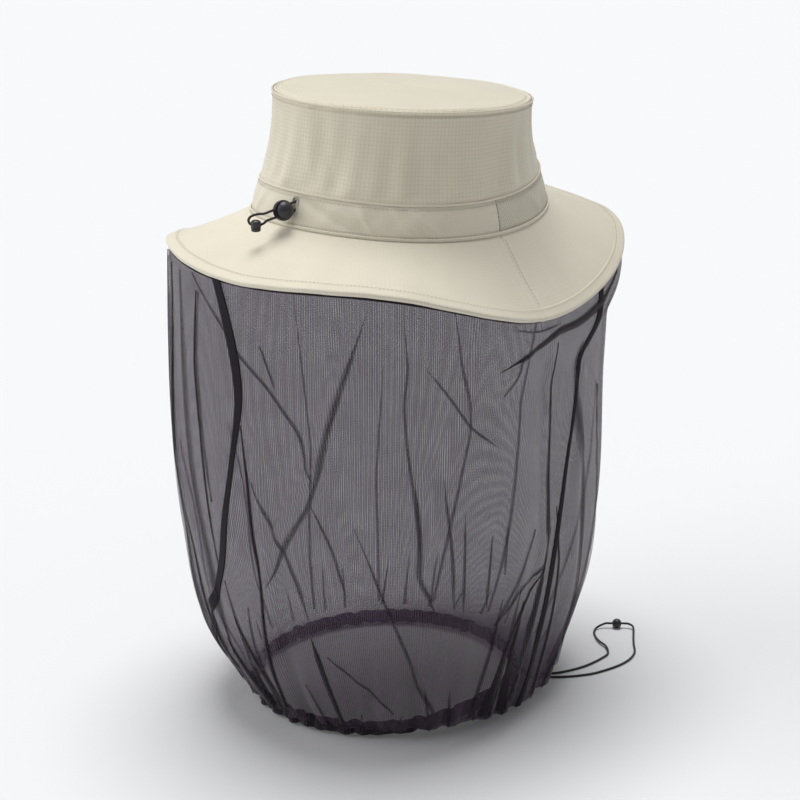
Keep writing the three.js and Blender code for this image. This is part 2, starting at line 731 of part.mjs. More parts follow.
function hemCordPoints() {
  const { point, normal, side } = hemEyeletFrame();
  const at = (offset, reach, up) => point.clone()
    .addScaledVector(side, offset)
    .addScaledVector(normal, reach)
    .add(new THREE.Vector3(0, 0, up));
  const [ballX, ballY] = BALL.centre;
  const onBall = (reach) => new THREE.Vector3(
    ballX + BALL_PATH[0] * reach,
    ballY + BALL_PATH[1] * reach,
    FLOOR + BALL.radius + 0.1,
  );
  const laid = (list) => list.map(([x, y, z]) => new THREE.Vector3(x, y, z));
  return [
    at(HEM_STRAND_OFFSET, -0.8, 0),
    at(HEM_STRAND_OFFSET, 3.5, -0.2),
    ...laid(HEM_LOOP_OUT),
    onBall(-8),
    onBall(-5.8),
    onBall(0),
    onBall(5.6),
    ...laid(HEM_LOOP_BACK),
    at(-HEM_STRAND_OFFSET, 3.5, -0.2),
    at(-HEM_STRAND_OFFSET, -0.8, 0),
  ];
}

function hemBall() {
  const { radius, centre } = BALL;
  const sphere = new THREE.SphereGeometry(radius, 16, 10);
  const bore = new THREE.CylinderGeometry(BORE, BORE, 20, 10);
  const solid = fromManifold(toManifold(sphere).subtract(toManifold(bore)));
  const path = new THREE.Vector3(BALL_PATH[0], BALL_PATH[1], 0).normalize();
  solid.applyQuaternion(new THREE.Quaternion().setFromUnitVectors(new THREE.Vector3(0, 1, 0), path));
  return solid.translate(centre[0], centre[1], FLOOR + radius + 0.1);
}

function heldHemCord() {
  const steps = 60;
  const clear = 0.05;
  const points = [];
  for (let i = 0; i <= steps; i += 1) {
    const angle = HEM_EYELET_ANGLE + clear + (2 * Math.PI - 2 * clear) * (i / steps);
    points.push(hemPoint(angle, 0, -CASING.cordDrop));
  }
  return tube(points, CORD_RADIUS, 64, 6);
}

function addHem() {
  add(veilGroup, 'veil_hem_casing', hemCasing(), 'tape');
  add(veilGroup, 'hem_drawcord', heldHemCord(), 'cord');
  add(veilGroup, 'hem_eyelet', hemEyelet(), 'tape');
  add(veilGroup, 'hem_cord_loop', tube(hemCordPoints(), CORD_RADIUS, 80), 'cord');
  add(veilGroup, 'hem_cord_ball', hemBall(), 'plastic');
}

addCrown();
addBand();
addBrim();
addBandCord();
addVeil();
addHem();

export default model;
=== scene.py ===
import math

import bmesh
import bpy
import numpy as np
from mathutils import Matrix, Vector


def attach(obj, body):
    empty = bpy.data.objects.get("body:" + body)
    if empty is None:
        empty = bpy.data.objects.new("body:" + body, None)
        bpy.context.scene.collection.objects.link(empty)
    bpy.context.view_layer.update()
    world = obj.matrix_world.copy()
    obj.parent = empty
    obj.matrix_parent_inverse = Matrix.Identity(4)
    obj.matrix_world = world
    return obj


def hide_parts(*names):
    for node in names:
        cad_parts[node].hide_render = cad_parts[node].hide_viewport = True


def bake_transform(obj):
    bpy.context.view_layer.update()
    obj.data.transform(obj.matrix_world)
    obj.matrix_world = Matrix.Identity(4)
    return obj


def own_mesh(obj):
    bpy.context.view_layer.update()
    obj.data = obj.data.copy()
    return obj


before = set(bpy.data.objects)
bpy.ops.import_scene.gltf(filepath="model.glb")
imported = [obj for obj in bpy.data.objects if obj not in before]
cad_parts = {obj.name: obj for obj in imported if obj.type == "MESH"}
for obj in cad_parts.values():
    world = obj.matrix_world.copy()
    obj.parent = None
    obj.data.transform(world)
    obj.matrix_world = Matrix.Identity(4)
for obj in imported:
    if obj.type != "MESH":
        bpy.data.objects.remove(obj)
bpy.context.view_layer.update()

MM = 0.001
rng = np.random.default_rng(7)

# ---- Small maths ----
def unit(vector):
    vector = np.asarray(vector, float)
    return vector / np.linalg.norm(vector)


def units(vectors):
    return vectors / np.linalg.norm(vectors, axis=-1, keepdims=True)


def xyz(x, y, z):
    return np.stack(np.broadcast_arrays(x, y, z), axis=-1).astype(float)


def mix(a, b, share):
    return a + (b - a) * np.asarray(share)[..., None]


def arc_lengths(points):
    steps = np.linalg.norm(np.diff(points, axis=0), axis=1)
    return np.concatenate([[0], np.cumsum(steps)])


def smoothed(line, times):
    """The line after averaging its inner points with their neighbours so many times."""
    for _ in range(times):
        line[1:-1] = (line[:-2] + 2 * line[1:-1] + line[2:]) / 4
    return line


def turn_gap(angle, centre, full_turn=2 * np.pi):
    """The signed gap from centre to angle, the short way round."""
    return (angle - centre + full_turn / 2) % full_turn - full_turn / 2


def smoothstep(value, low, high):
    t = np.clip((value - low) / (high - low), 0, 1)
    return t * t * (3 - 2 * t)


def bump_at(value, centre, width):
    """1 at the centre, falling off smoothly on both sides."""
    return np.exp(-((value - centre) / width) ** 2)


def lobe(angle, centre_degrees, width_degrees):
    return bump_at(turn_gap(np.degrees(angle), centre_degrees, 360), 0, width_degrees)


# ---- Driving sizes ----
FLOOR = -340.0
CAMERA = {"azimuth": 225.0, "elevation": 19.3, "distance": 1500.0, "target_z": -136.0, "aside": -0.7, "lens": 99.9}

# Half axes of the hat's rings, and mean radii that turn angles into lengths
CROWN_TOP, CROWN_MIDDLE, BAND_MIDDLE, BAND_FOOT = (79.5, 88.0), (80.0, 90.0), (86.0, 101.0), (88.0, 105.0)
BRIM_RADIUS, TAPE_RADIUS, NET_RADIUS, NET_UV_RADIUS = 110.0, 135.0, 130.0, 150.0
NET_DROP = 330.0

CORD_RADIUS = 0.8
CORD_REST = FLOOR + CORD_RADIUS + 0.1

HEM = {"x": 2.4, "y": 13.3, "half_x": 88.2, "half_y": 92.4, "z": -333.5, "tilt": 1.0}
BALL = {"radius": 3.5, "x": -60.0, "y": -165.0}
BALL_PATH = (-0.72, -0.69)

LOCK_CENTRE = np.array([-6.2, 109.3, 16.8])
LOCK_PATH = unit([0.18, 0.96, -0.19])
LOCK_AXIS = unit([-0.94, 0.223, 0.236])
LOCK_SIDE = unit(np.cross(LOCK_AXIS, LOCK_PATH))
STRAND_OFFSET = 2.4
STRAND_REACHES = (-11.0, 0.0, 6.0, 13.2)
LOOP_ALONG = unit([1, 1, 0])
LOOP_OUT = unit([-1, 1, 0])
LOOP_UPPER = [[14.8, 7.9, -0.3], [17.6, 8.1, -0.9], [19.9, 8.1, -2.1], [21.0, 8.3, -3.9], [20.6, 8.6, -5.7],
              [19.0, 8.9, -6.9]]
LOOP_LOWER = [[13.8, 8.9, -6.9], [11.6, 8.3, -6.0]]
END_PLACE = (16.5, 8.9, -7.3)
END_HOLE = 0.3
EYELET_ANGLE = 1.66
EYELET_RISE = 0.598
HEM_EYELET_ANGLE = 3.91


# ---- Surfaces of the hat, the same as the frame's: arrays of angles and shares give arrays of points ----
def ellipse_normal(half_x, half_y, angle):
    x, y = np.cos(angle) * half_y, np.sin(angle) * half_x
    size = np.hypot(x, y)
    return xyz(x / size, y / size, 0 * x)


RINGS = {
    "crown_top": (*CROWN_TOP, -2.0, lambda a: 74.3 + 7 * np.sin(a)),
    "band_top": (83.2, 97.8, 0.0, lambda a: 22.1 + 0.7 * np.sin(a) - 3.8 * np.cos(2 * a)),
    "band_bottom": (*BAND_FOOT, 0.0, lambda a: 2.1 * np.sin(a) - 3.7 * np.cos(2 * a)),
}


def ring(name, angle, outward=0.0, up=0.0):
    half_x, half_y, centre_y, height = RINGS[name]
    points = xyz(half_x * np.cos(angle), centre_y + half_y * np.sin(angle), height(angle) + up)
    return points + ellipse_normal(half_x, half_y, angle) * np.asarray(outward)[..., None]


def band_surface(angle, share):
    return mix(ring("band_bottom", angle), ring("band_top", angle), share)


def crown_surface(angle, share):
    inward = -ellipse_normal(*CROWN_TOP, angle)
    sag = 2.5 * np.sin(np.pi * np.clip(share, 0, 1))
    return mix(ring("band_top", angle), ring("crown_top", angle), share) + inward * sag[..., None]


def brim_width(angle):
    return 59 - 1.5 * np.sin(angle) + 1.5 * np.cos(2 * angle)


def brim_slope(angle):
    degrees = 30.4 - 1.6 * np.sin(angle) + 16.8 * np.cos(2 * angle) - 8.6 * np.sin(3 * angle) + 3.3 * np.cos(4 * angle)
    return np.radians(degrees + 10.5 * bump_at(turn_gap(angle, 4.63), 0, 0.38))


def brim_up(angle):
    """The direction square to the brim's upper face."""
    slope = brim_slope(angle)
    return ellipse_normal(*BAND_FOOT, angle) * np.sin(slope)[..., None] + xyz(0 * angle, 0 * angle, np.cos(slope))


def brim_surface(angle, share):
    slope, run = brim_slope(angle), brim_width(angle) * share
    return ring("band_bottom", angle, run * np.cos(slope), -run * np.sin(slope))


def hem_point(angle, outward=0.0, up=0.0):
    points = xyz(
        HEM["x"] + HEM["half_x"] * np.cos(angle),
        HEM["y"] + HEM["half_y"] * np.sin(angle),
        HEM["z"] - HEM["tilt"] * np.cos(angle) + up,
    )
    return points + ellipse_normal(HEM["half_x"], HEM["half_y"], angle) * np.asarray(outward)[..., None]


def surface_normal(surface, angle, share):
    step = 0.002
    along = surface(angle + step, share) - surface(angle - step, share)
    low, high = np.clip(share - step, 0, 1), np.clip(share + step, 0, 1)
    return units(np.cross(along, surface(angle, high) - surface(angle, low)))


# ---- Camera ----
def add_camera():
    azimuth, elevation = math.radians(CAMERA["azimuth"]), math.radians(CAMERA["elevation"])
    back = Vector((
        math.sin(azimuth) * math.cos(elevation),
        -math.cos(azimuth) * math.cos(elevation),
        math.sin(elevation),
    ))
    right = Vector((math.cos(azimuth), math.sin(azimuth), 0))
    up = back.cross(right)
    place = Vector((0, 0, CAMERA["target_z"])) + back * CAMERA["distance"] + right * CAMERA["aside"]
    data = bpy.data.cameras.new("camera")
    data.lens = CAMERA["lens"]
    data.clip_end = 50
    camera = bpy.data.objects.new("camera", data)
    camera.matrix_world = Matrix.Translation(place * MM) @ Matrix((right, up, back)).transposed().to_4x4()
    bpy.context.collection.objects.link(camera)
    bpy.context.scene.camera = camera


# ---- Meshes ----
def link(name, mesh):
    obj = bpy.data.objects.new(name, mesh)
    bpy.context.collection.objects.link(obj)
    return obj


def build(name, points, faces, uvs=None, smooth=True):
    """A mesh object from millimetre points, faces as lists of indices, and a UV per point in metres."""
    mesh = bpy.data.meshes.new(name)
    mesh.from_pydata((np.asarray(points) * MM).tolist(), [], faces)
    if uvs is not None:
        layer = mesh.uv_layers.new(name="UVMap")
        corner_points = np.empty(len(mesh.loops), int)
        mesh.loops.foreach_get("vertex_index", corner_points)
        layer.data.foreach_set("uv", np.asarray(uvs, np.float32)[corner_points].ravel())
    if smooth:
        mesh.polygons.foreach_set("use_smooth", [True] * len(mesh.polygons))
    mesh.validate()
    return link(name, mesh)


def grid_faces(rows, columns, wrap_columns=False, wrap_rows=False, first=0):
    faces = []
    for r in range(rows if wrap_rows else rows - 1):
        for c in range(columns if wrap_columns else columns - 1):
            right, below = (c + 1) % columns, (r + 1) % rows
            faces.append([first + r * columns + c, first + r * columns + right,
                          first + below * columns + right, first + below * columns + c])
    return faces


def sheet(name, surface, angles, shares, thickness, inward=1.0, closed=False):
    """A cloth sheet over surface(angle, share), as a closed thin solid with UVs in metres along and across."""
    grid_a, grid_s = np.meshgrid(angles, shares)
    outer = surface(grid_a, grid_s)
    du, dv = np.gradient(outer, axis=1), np.gradient(outer, axis=0)
    if closed:
        du = np.roll(outer, -1, axis=1) - np.roll(outer, 1, axis=1)
    inner = outer - units(np.cross(du, dv)) * thickness * inward
    along = arc_lengths(outer[len(shares) // 2]) * MM
    across = arc_lengths(outer[:, 0]) * MM
    return solid_between(name, outer, inner, along, across, closed)


def solid_between(name, outer, inner, us, vs, closed=False):
    """A closed solid between two grids of points; closed also joins the last column to the first."""
    rows, columns = outer.shape[:2]
    count = rows * columns
    faces = grid_faces(rows, columns, closed)
    faces += [face[::-1] for face in grid_faces(rows, columns, closed, first=count)]
    around = [*range(columns), *([0] if closed else [])]
    rims = [([r * columns + c for c in around], flip) for r, flip in ((0, 1), (rows - 1, -1))]
    if not closed:
        rims += [([r * columns + c for r in range(rows)], flip) for c, flip in ((0, -1), (columns - 1, 1))]
    for rim, flip in rims:
        faces += [[a + count, b + count, b, a][::flip] for a, b in zip(rim, rim[1:])]
    points = np.concatenate([outer.reshape(-1, 3), inner.reshape(-1, 3)])
    uv = np.stack(np.meshgrid(us, vs), axis=-1).reshape(-1, 2)
    return recalculated(build(name, points, faces, np.concatenate([uv, uv])))


def recalculated(obj):
    """The same object with its faces turned outward."""
    work = bmesh.new()
    work.from_mesh(obj.data)
    bmesh.ops.recalc_face_normals(work, faces=work.faces)
    work.to_mesh(obj.data)
    work.free()
    return obj


def swept(name, centres, outline, ups=None, closed=True, scale=None):
    """A solid of a closed outline [(across, up), ...] carried along centres, with UVs in metres."""
    centres = np.asarray(centres, float)
    tangents = np.roll(centres, -1, 0) - np.roll(centres, 1, 0) if closed else np.gradient(centres, axis=0)
    tangents = units(tangents)
    ups = np.tile([0.0, 0.0, 1.0], (len(centres), 1)) if ups is None else ups
    side = units(np.cross(tangents, ups))
    over = np.cross(side, tangents)
    outline = np.asarray(outline, float)
    scale = np.ones((len(centres), 2)) if scale is None else scale
    points = (centres[:, None] + side[:, None] * (outline[None, :, :1] * scale[:, None, :1])
              + over[:, None] * (outline[None, :, 1:] * scale[:, None, 1:]))
    rows, columns = len(centres), len(outline)
    along = arc_lengths(centres) * MM
    around = arc_lengths(np.vstack([outline, outline[:1]]))[:-1] * MM
    uv = np.stack(np.meshgrid(along, around, indexing="ij"), axis=-1).reshape(-1, 2)
    faces = grid_faces(rows, columns, wrap_columns=True, wrap_rows=closed)
    if not closed:
        faces += [list(range(columns)), [(rows - 1) * columns + c for c in reversed(range(columns))]]
    return recalculated(build(name, points.reshape(-1, 3), faces, uv))


def rounded_outline(half_width, half_height, radius, arc_steps=3):
    corners = ((1, 1, 0), (-1, 1, 90), (-1, -1, 180), (1, -1, 270))
    outline = []
    for sx, sy, start in corners:
        for i in range(arc_steps + 1):
            turn = math.radians(start + 90 * i / arc_steps)
            outline.append((sx * (half_width - radius) + radius * math.cos(turn),
                            sy * (half_height - radius) + radius * math.sin(turn)))
    return outline


def round_outline(radius, sides=12):
    turns = np.arange(sides) / sides * 2 * np.pi
    return np.stack([radius * np.cos(turns), radius * np.sin(turns)], axis=1)


def ring_angles(count):
    return np.arange(count) / count * 2 * np.pi


# ---- Materials ----
class Shader:
    """A material under construction, with short calls for its nodes."""

    def __init__(self, name):
        self.material = bpy.data.materials.new(name)
        self.material.use_nodes = True
        self.tree = self.material.node_tree
        self.tree.nodes.clear()
        self.output = self.tree.nodes.new("ShaderNodeOutputMaterial")

    def node(self, kind, inputs=None, **settings):
        node = self.tree.nodes.new(kind)
        for key, value in settings.items():
            setattr(node, key, value)
        for key, value in (inputs or {}).items():
            self.feed(node.inputs[key], value)
        return node

    def feed(self, socket, value):
        if isinstance(value, bpy.types.NodeSocket):
            self.tree.links.new(value, socket)
        else:
            socket.default_value = value

    def math(self, operation, *values, clamp=False):
        node = self.node("ShaderNodeMath", operation=operation, use_clamp=clamp)
        for socket, value in zip(node.inputs, values):
            self.feed(socket, value)
        return node.outputs[0]

    def total(self, *terms, base=0.0, clamp=False):
        """The sum of value times weight over the terms, on top of a base."""
        for value, weight in terms:
            base = self.math("MULTIPLY_ADD", value, weight, base)
        base.node.use_clamp = clamp
        return base

    def uv(self):
        split = self.node("ShaderNodeSeparateXYZ", {0: self.node("ShaderNodeTexCoord").outputs["UV"]})
        return split.outputs[0], split.outputs[1]

    def wave(self, along, pitch_mm, sharpness=1.0):
        """From 0 to 1 and back once every pitch; a high sharpness leaves thin lines at 1."""
        turn = self.math("MULTIPLY", along, math.pi / (pitch_mm * MM))
        height = self.math("ABSOLUTE", self.math("SINE", turn))
        return height if sharpness == 1.0 else self.math("POWER", height, sharpness)

    def woven(self, one, two, pitch_mm, sharpness=1.0, join="MULTIPLY"):
        return self.math(join, self.wave(one, pitch_mm, sharpness), self.wave(two, pitch_mm, sharpness))

    def noise(self, scale, detail, roughness=0.5):
        place = self.node("ShaderNodeTexCoord").outputs["Object"]
        inputs = {"Scale": scale, "Detail": detail, "Roughness": roughness, "Vector": place}
        return self.node("ShaderNodeTexNoise", inputs).outputs[0]

    def blend(self, factor, a, b):
        node = self.node("ShaderNodeMix", data_type="RGBA")
        self.feed(node.inputs["Factor"], factor)
        self.feed(node.inputs["A"], a)
        self.feed(node.inputs["B"], b)
        return node.outputs["Result"]

    def bump(self, height, distance_mm, strength=1.0):
        inputs = {"Height": height, "Distance": distance_mm * MM, "Strength": strength}
        return self.node("ShaderNodeBump", inputs).outputs[0]

    def principled(self, **inputs):
        names = {"colour": "Base Color", "roughness": "Roughness", "normal": "Normal", "sheen": "Sheen Weight",
                 "sheen_roughness": "Sheen Roughness", "alpha": "Alpha", "metallic": "Metallic",
                 "specular": "Specular IOR Level"}
        node = self.node("ShaderNodeBsdfPrincipled", {names[key]: value for key, value in inputs.items()})
        self.tree.links.new(node.outputs[0], self.output.inputs[0])
        return self.material


def rgba(red, green, blue):
    return (red, green, blue, 1.0)


def ripstop(name, light, dark, grid=1.0):
    """Fine plain weave with a raised ripstop grid; grid is how plainly it shows."""
    s = Shader(name)
    u, v = s.uv()
    grid_mm = 2.5
    lines = s.woven(u, v, grid_mm, 14.0, "MAXIMUM")
    cloud = s.noise(38.0, 4.0)
    tone = s.total((lines, 0.22 * grid), (s.woven(u, v, grid_mm, 8.0), 0.24 * grid), (cloud, 0.28),
                   (s.noise(1400.0, 2.0), 0.16), clamp=True)
    height = s.total((s.woven(u, v, 0.62), 0.35), (lines, 0.65 * grid))
    return s.principled(colour=s.blend(tone, light, dark), roughness=s.total((cloud, 0.15), base=0.68), sheen=0.25,
                        sheen_roughness=0.5, specular=0.3, normal=s.bump(height, 0.12, 0.55))


def vent_mesh(name, light, dark):
    """A spacer mesh of small holes on a diagonal grid."""
    s = Shader(name)
    u, v = s.uv()
    lines = s.woven(s.math("ADD", u, v), s.math("SUBTRACT", u, v), 2.6, 3.0, "MAXIMUM")
    tone = s.total((s.wave(u, 0.9), 0.12), base=s.total((lines, -0.75), base=0.95, clamp=True), clamp=True)
    return s.principled(colour=s.blend(tone, light, dark), roughness=0.85, sheen=0.2, specular=0.25,
                        normal=s.bump(lines, 0.3, 0.8))


def plain_weave(name, light, dark, pitch_mm, rib_mm=0.0, roughness=0.85, sheen=0.15):
    s = Shader(name)
    u, v = s.uv()
    height = s.woven(u, v, pitch_mm)
    if rib_mm:
        height = s.total((height, 0.4), (s.wave(u, rib_mm, 2.0), 0.6))
    tone = s.total((height, 0.55), (s.noise(90.0, 3.0), 0.45), clamp=True)
    return s.principled(colour=s.blend(tone, dark, light), roughness=roughness, sheen=sheen, specular=0.25,
                        normal=s.bump(height, 0.15, 0.7))


def insect_net(name, cover_base=0.38, painted_shade_scale=1.0):
    """Knitted net: fine ribs running down, with cross threads between, see-through in the gaps. The scale multiplies
    both colours; below 1 it darkens them as painted shade for the net in folds and gathers.
    """
    s = Shader(name)
    u, v = s.uv()
    rib = s.wave(u, 1.5, 2.2)
    cover = s.total((rib, 0.28), (s.wave(v, 1.05, 2.0), 0.14), (s.noise(55.0, 3.0), 0.12), base=cover_base, clamp=True)
    # both colours times the scale: below 1 this is painted shade
    dark = rgba(0.028 * painted_shade_scale, 0.013 * painted_shade_scale, 0.030 * painted_shade_scale)
    light = rgba(0.080 * painted_shade_scale, 0.054 * painted_shade_scale, 0.084 * painted_shade_scale)
    return s.principled(colour=s.blend(rib, dark, light), roughness=0.75, sheen=0.25, sheen_roughness=0.4,
                        specular=0.2, alpha=cover, normal=s.bump(rib, 0.2, 0.6))


def braid(name, light, dark):
    s = Shader(name)
    u, v = s.uv()
    weave = s.woven(s.math("ADD", u, v), s.math("SUBTRACT", u, v), 1.4, 1.5)
    return s.principled(colour=s.blend(weave, dark, light), roughness=0.6, sheen=0.2, specular=0.4,
                        normal=s.bump(weave, 0.18, 0.8))


def moulded(name, light, dark):
    s = Shader(name)
    cloud = s.noise(160.0, 2.0)
    return s.principled(colour=s.blend(cloud, dark, light), roughness=s.total((cloud, 0.16), base=0.32), specular=0.5,
                        normal=s.bump(s.noise(2600.0, 3.0), 0.03, 0.5))


def spring_wire(name, light, dark):
    s = Shader(name)
    grain = s.noise(1800.0, 2.0)
    return s.principled(colour=s.blend(grain, dark, light), metallic=1.0, roughness=s.total((grain, 0.2), base=0.2))


def foam_sheet(name, light, dark):
    s = Shader(name)
    cells = s.noise(1500.0, 4.0, 0.7)
    return s.principled(colour=s.blend(cells, dark, light), roughness=0.95, normal=s.bump(cells, 0.2, 0.6))


MATERIALS = {
    "shell": ripstop("shell_ripstop", rgba(0.72, 0.668, 0.54), rgba(0.50, 0.46, 0.355)),
    "shell_smooth": ripstop("shell_ripstop_smooth", rgba(0.71, 0.66, 0.54), rgba(0.50, 0.46, 0.36), 0.35),
    "vent": vent_mesh("vent_mesh", rgba(0.72, 0.672, 0.55), rgba(0.46, 0.425, 0.335)),
    "lining": plain_weave("lining_weave", rgba(0.52, 0.49, 0.41), rgba(0.40, 0.375, 0.31), 0.8),
    "foam": foam_sheet("foam", rgba(0.85, 0.84, 0.8), rgba(0.7, 0.69, 0.64)),
    "tape": plain_weave("black_tape", rgba(0.020, 0.015, 0.022), rgba(0.006, 0.004, 0.007), 0.8, 1.6, 0.9, 0.02),
    "net": insect_net("insect_net"),
    # darker copies of the net for its folds and gathered hem: painted shade in the colour, with their own cover
    "net_painted_shade_fold": insect_net("insect_net_painted_shade_fold", 0.12, 0.6),
    "net_painted_shade_gathered": insect_net("insect_net_painted_shade_gathered", 0.58, 0.35),
    "cord": braid("black_braid", rgba(0.030, 0.029, 0.032), rgba(0.006, 0.006, 0.007)),
    "plastic": moulded("black_plastic", rgba(0.030, 0.027, 0.032), rgba(0.016, 0.014, 0.017)),
    "steel": spring_wire("spring_wire", rgba(0.7, 0.7, 0.7), rgba(0.5, 0.5, 0.5)),
    "thread": plain_weave("khaki_thread", rgba(0.66, 0.62, 0.53), rgba(0.48, 0.45, 0.37), 0.3),
    "black_thread": plain_weave("black_thread", rgba(0.03, 0.03, 0.03), rgba(0.01, 0.01, 0.01), 0.3),
}


def finish(piece, slot, body, *nodes, material=None):
    piece.data.materials.append(MATERIALS[material or slot])
    if nodes:
        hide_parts(*nodes)
    if body:
        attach(piece, body)
    return piece


# ---- Cords, on the frame's own routes ----
def eyelet_frame():
    angle, share = np.array(EYELET_ANGLE), np.array(EYELET_RISE)
    point = band_surface(angle, share)
    normal = surface_normal(band_surface, angle, share)
    side = unit(LOCK_SIDE - LOCK_PATH * np.dot(LOCK_SIDE, normal) / np.dot(LOCK_PATH, normal))
    return point, normal, side


def loop_point(along, outward, up):
    return LOCK_CENTRE + LOOP_ALONG * along + LOOP_OUT * outward + np.array([0, 0, up])


def band_cord_points():
    def strand(offset):
        return [LOCK_CENTRE + LOCK_SIDE * offset + LOCK_PATH * reach for reach in STRAND_REACHES]

    along, outward, up = END_PLACE
    return [
        *strand(-STRAND_OFFSET), *[loop_point(*place) for place in LOOP_UPPER],
        loop_point(along, outward, up + END_HOLE),
        *[loop_point(*place) for place in LOOP_LOWER], *strand(STRAND_OFFSET)[::-1],
    ]


# The free hem loop on the floor, from the casing to the ball and back: x, y and height above lying flat
HEM_LOOP_OUT = [
    [-68, -60.3, 1.2], [-75, -70.6, 0], [-80.2, -78.5, 0], [-85.6, -95.4, 0],
    [-86.6, -107, 0], [-86.3, -117, 0], [-84.6, -125.5, 0], [-76.8, -132.6, 0.8],
    [-68.6, -135.5, 0.8], [-61, -140.2, 0], [-54.3, -146.1, 0],
    [-51.4, -152.5, 0.6],
]
HEM_LOOP_BACK = [
    [-66.3, -170.8, 2.5], [-69.6, -171.2, 1.8], [-73, -168.6, 1],
    [-77.5, -163, 0.4], [-87.2, -151.5, 0],
    [-97, -140.5, 0], [-101.6, -129, 0], [-102.4, -116.3, 0], [-100.9, -105.5, 0],
    [-97.8, -93.5, 0], [-93.9, -85.7, 0], [-87, -75.5, 0], [-78.6, -66.4, 0],
    [-71.5, -57.5, 1.2],
]


def above_floor(places):
    return [[x, y, CORD_REST + up] for x, y, up in places]


def hem_eyelet_frame(outward):
    angle = np.array(HEM_EYELET_ANGLE)
    normal = ellipse_normal(HEM["half_x"], HEM["half_y"], angle)
    return hem_point(angle, outward, -2.0), normal, np.array([-normal[1], normal[0], 0])


def hem_cord_points():
    point, normal, side = hem_eyelet_frame(2.5)

    def at(offset, reach, up):
        return point + side * offset + normal * reach + np.array([0, 0, up])

    def on_ball(reach):
        return np.array([BALL["x"] + BALL_PATH[0] * reach, BALL["y"] + BALL_PATH[1] * reach,
                         FLOOR + BALL["radius"] + 0.1])

    apart = 1.5
    return [
        at(apart, -0.8, 0), at(apart, 3.5, -0.2), *above_floor(HEM_LOOP_OUT),
        on_ball(-8), on_ball(-5.8), on_ball(0), on_ball(5.6), *above_floor(HEM_LOOP_BACK),
        at(-apart, 3.5, -0.2), at(-apart, -0.8, 0),
    ]


def catmull_rom(points, per_span):
    """The centripetal curve through the points, as the frame's cords follow it."""
    p = np.asarray(points, float)
    p = np.vstack([2 * p[0] - p[1], p, 2 * p[-1] - p[-2]])
    out = []
    for i in range(1, len(p) - 2):
        knots = [0.0]
        for a, b in ((i - 1, i), (i, i + 1), (i + 1, i + 2)):
            knots.append(knots[-1] + max(np.linalg.norm(p[b] - p[a]), 1e-6) ** 0.5)
        t0, t1, t2, t3 = knots
        for t in np.linspace(t1, t2, per_span, endpoint=False):
            a1 = (t1 - t) / (t1 - t0) * p[i - 1] + (t - t0) / (t1 - t0) * p[i]
            a2 = (t2 - t) / (t2 - t1) * p[i] + (t - t1) / (t2 - t1) * p[i + 1]
            a3 = (t3 - t) / (t3 - t2) * p[i + 1] + (t - t2) / (t3 - t2) * p[i + 2]
            b1 = (t2 - t) / (t2 - t0) * a1 + (t - t0) / (t2 - t0) * a2
            b2 = (t3 - t) / (t3 - t1) * a2 + (t - t1) / (t3 - t1) * a3
            out.append((t2 - t) / (t2 - t1) * b1 + (t - t1) / (t2 - t1) * b2)
    out.append(p[-2])
    return np.array(out)


def frames_along(line):
    """Up vectors that turn as little as possible along a line."""
    tangents = units(np.gradient(line, axis=0))
    up = unit(np.cross(tangents[0], [0.3, 0.2, 1.0]))
    ups = []
    for tangent in tangents:
        up = unit(up - tangent * np.dot(up, tangent))
        ups.append(up)
    return np.array(ups)


def cord_piece(name, points, per_span):
    line = catmull_rom(points, per_span)
    piece = swept(name, line, round_outline(CORD_RADIUS, 12), ups=frames_along(line), closed=False)
    length = float(arc_lengths(line)[-1]) * MM
    return piece, line, length


# ---- The hat's cloth ----
def puckers(angle, share, seed, waves, depth):
    """Soft random folds that run up and down, deepest at share 0."""
    local = np.random.default_rng(seed)
    total = 0 * angle
    for wave in waves:
        phase, slant = local.uniform(0, 2 * np.pi), local.uniform(-0.5, 0.5)
        total = total + np.sin(wave * angle + phase + slant * share * 4) / len(waves)
    return depth * total


def slanting_folds(folds, angle, share):
    """The height of folds listed as (top degrees, bottom degrees, half width in degrees, depth in mm)."""
    return sum(depth * lobe(angle, low + (high - low) * share, width) for high, low, width, depth in folds)


# Upright folds of the crown
CROWN_FOLDS = [
    (196, 190, 3.0, 1.3), (188, 183, 2.2, -1.1), (205, 201, 2.6, 1.1), (100, 112, 4.0, -1.3), (92, 102, 3.0, 1.0),
    (64, 58, 3.0, 1.0), (20, 26, 3.0, 1.0), (240, 236, 3.0, 1.0), (300, 306, 3.5, 1.1),
]


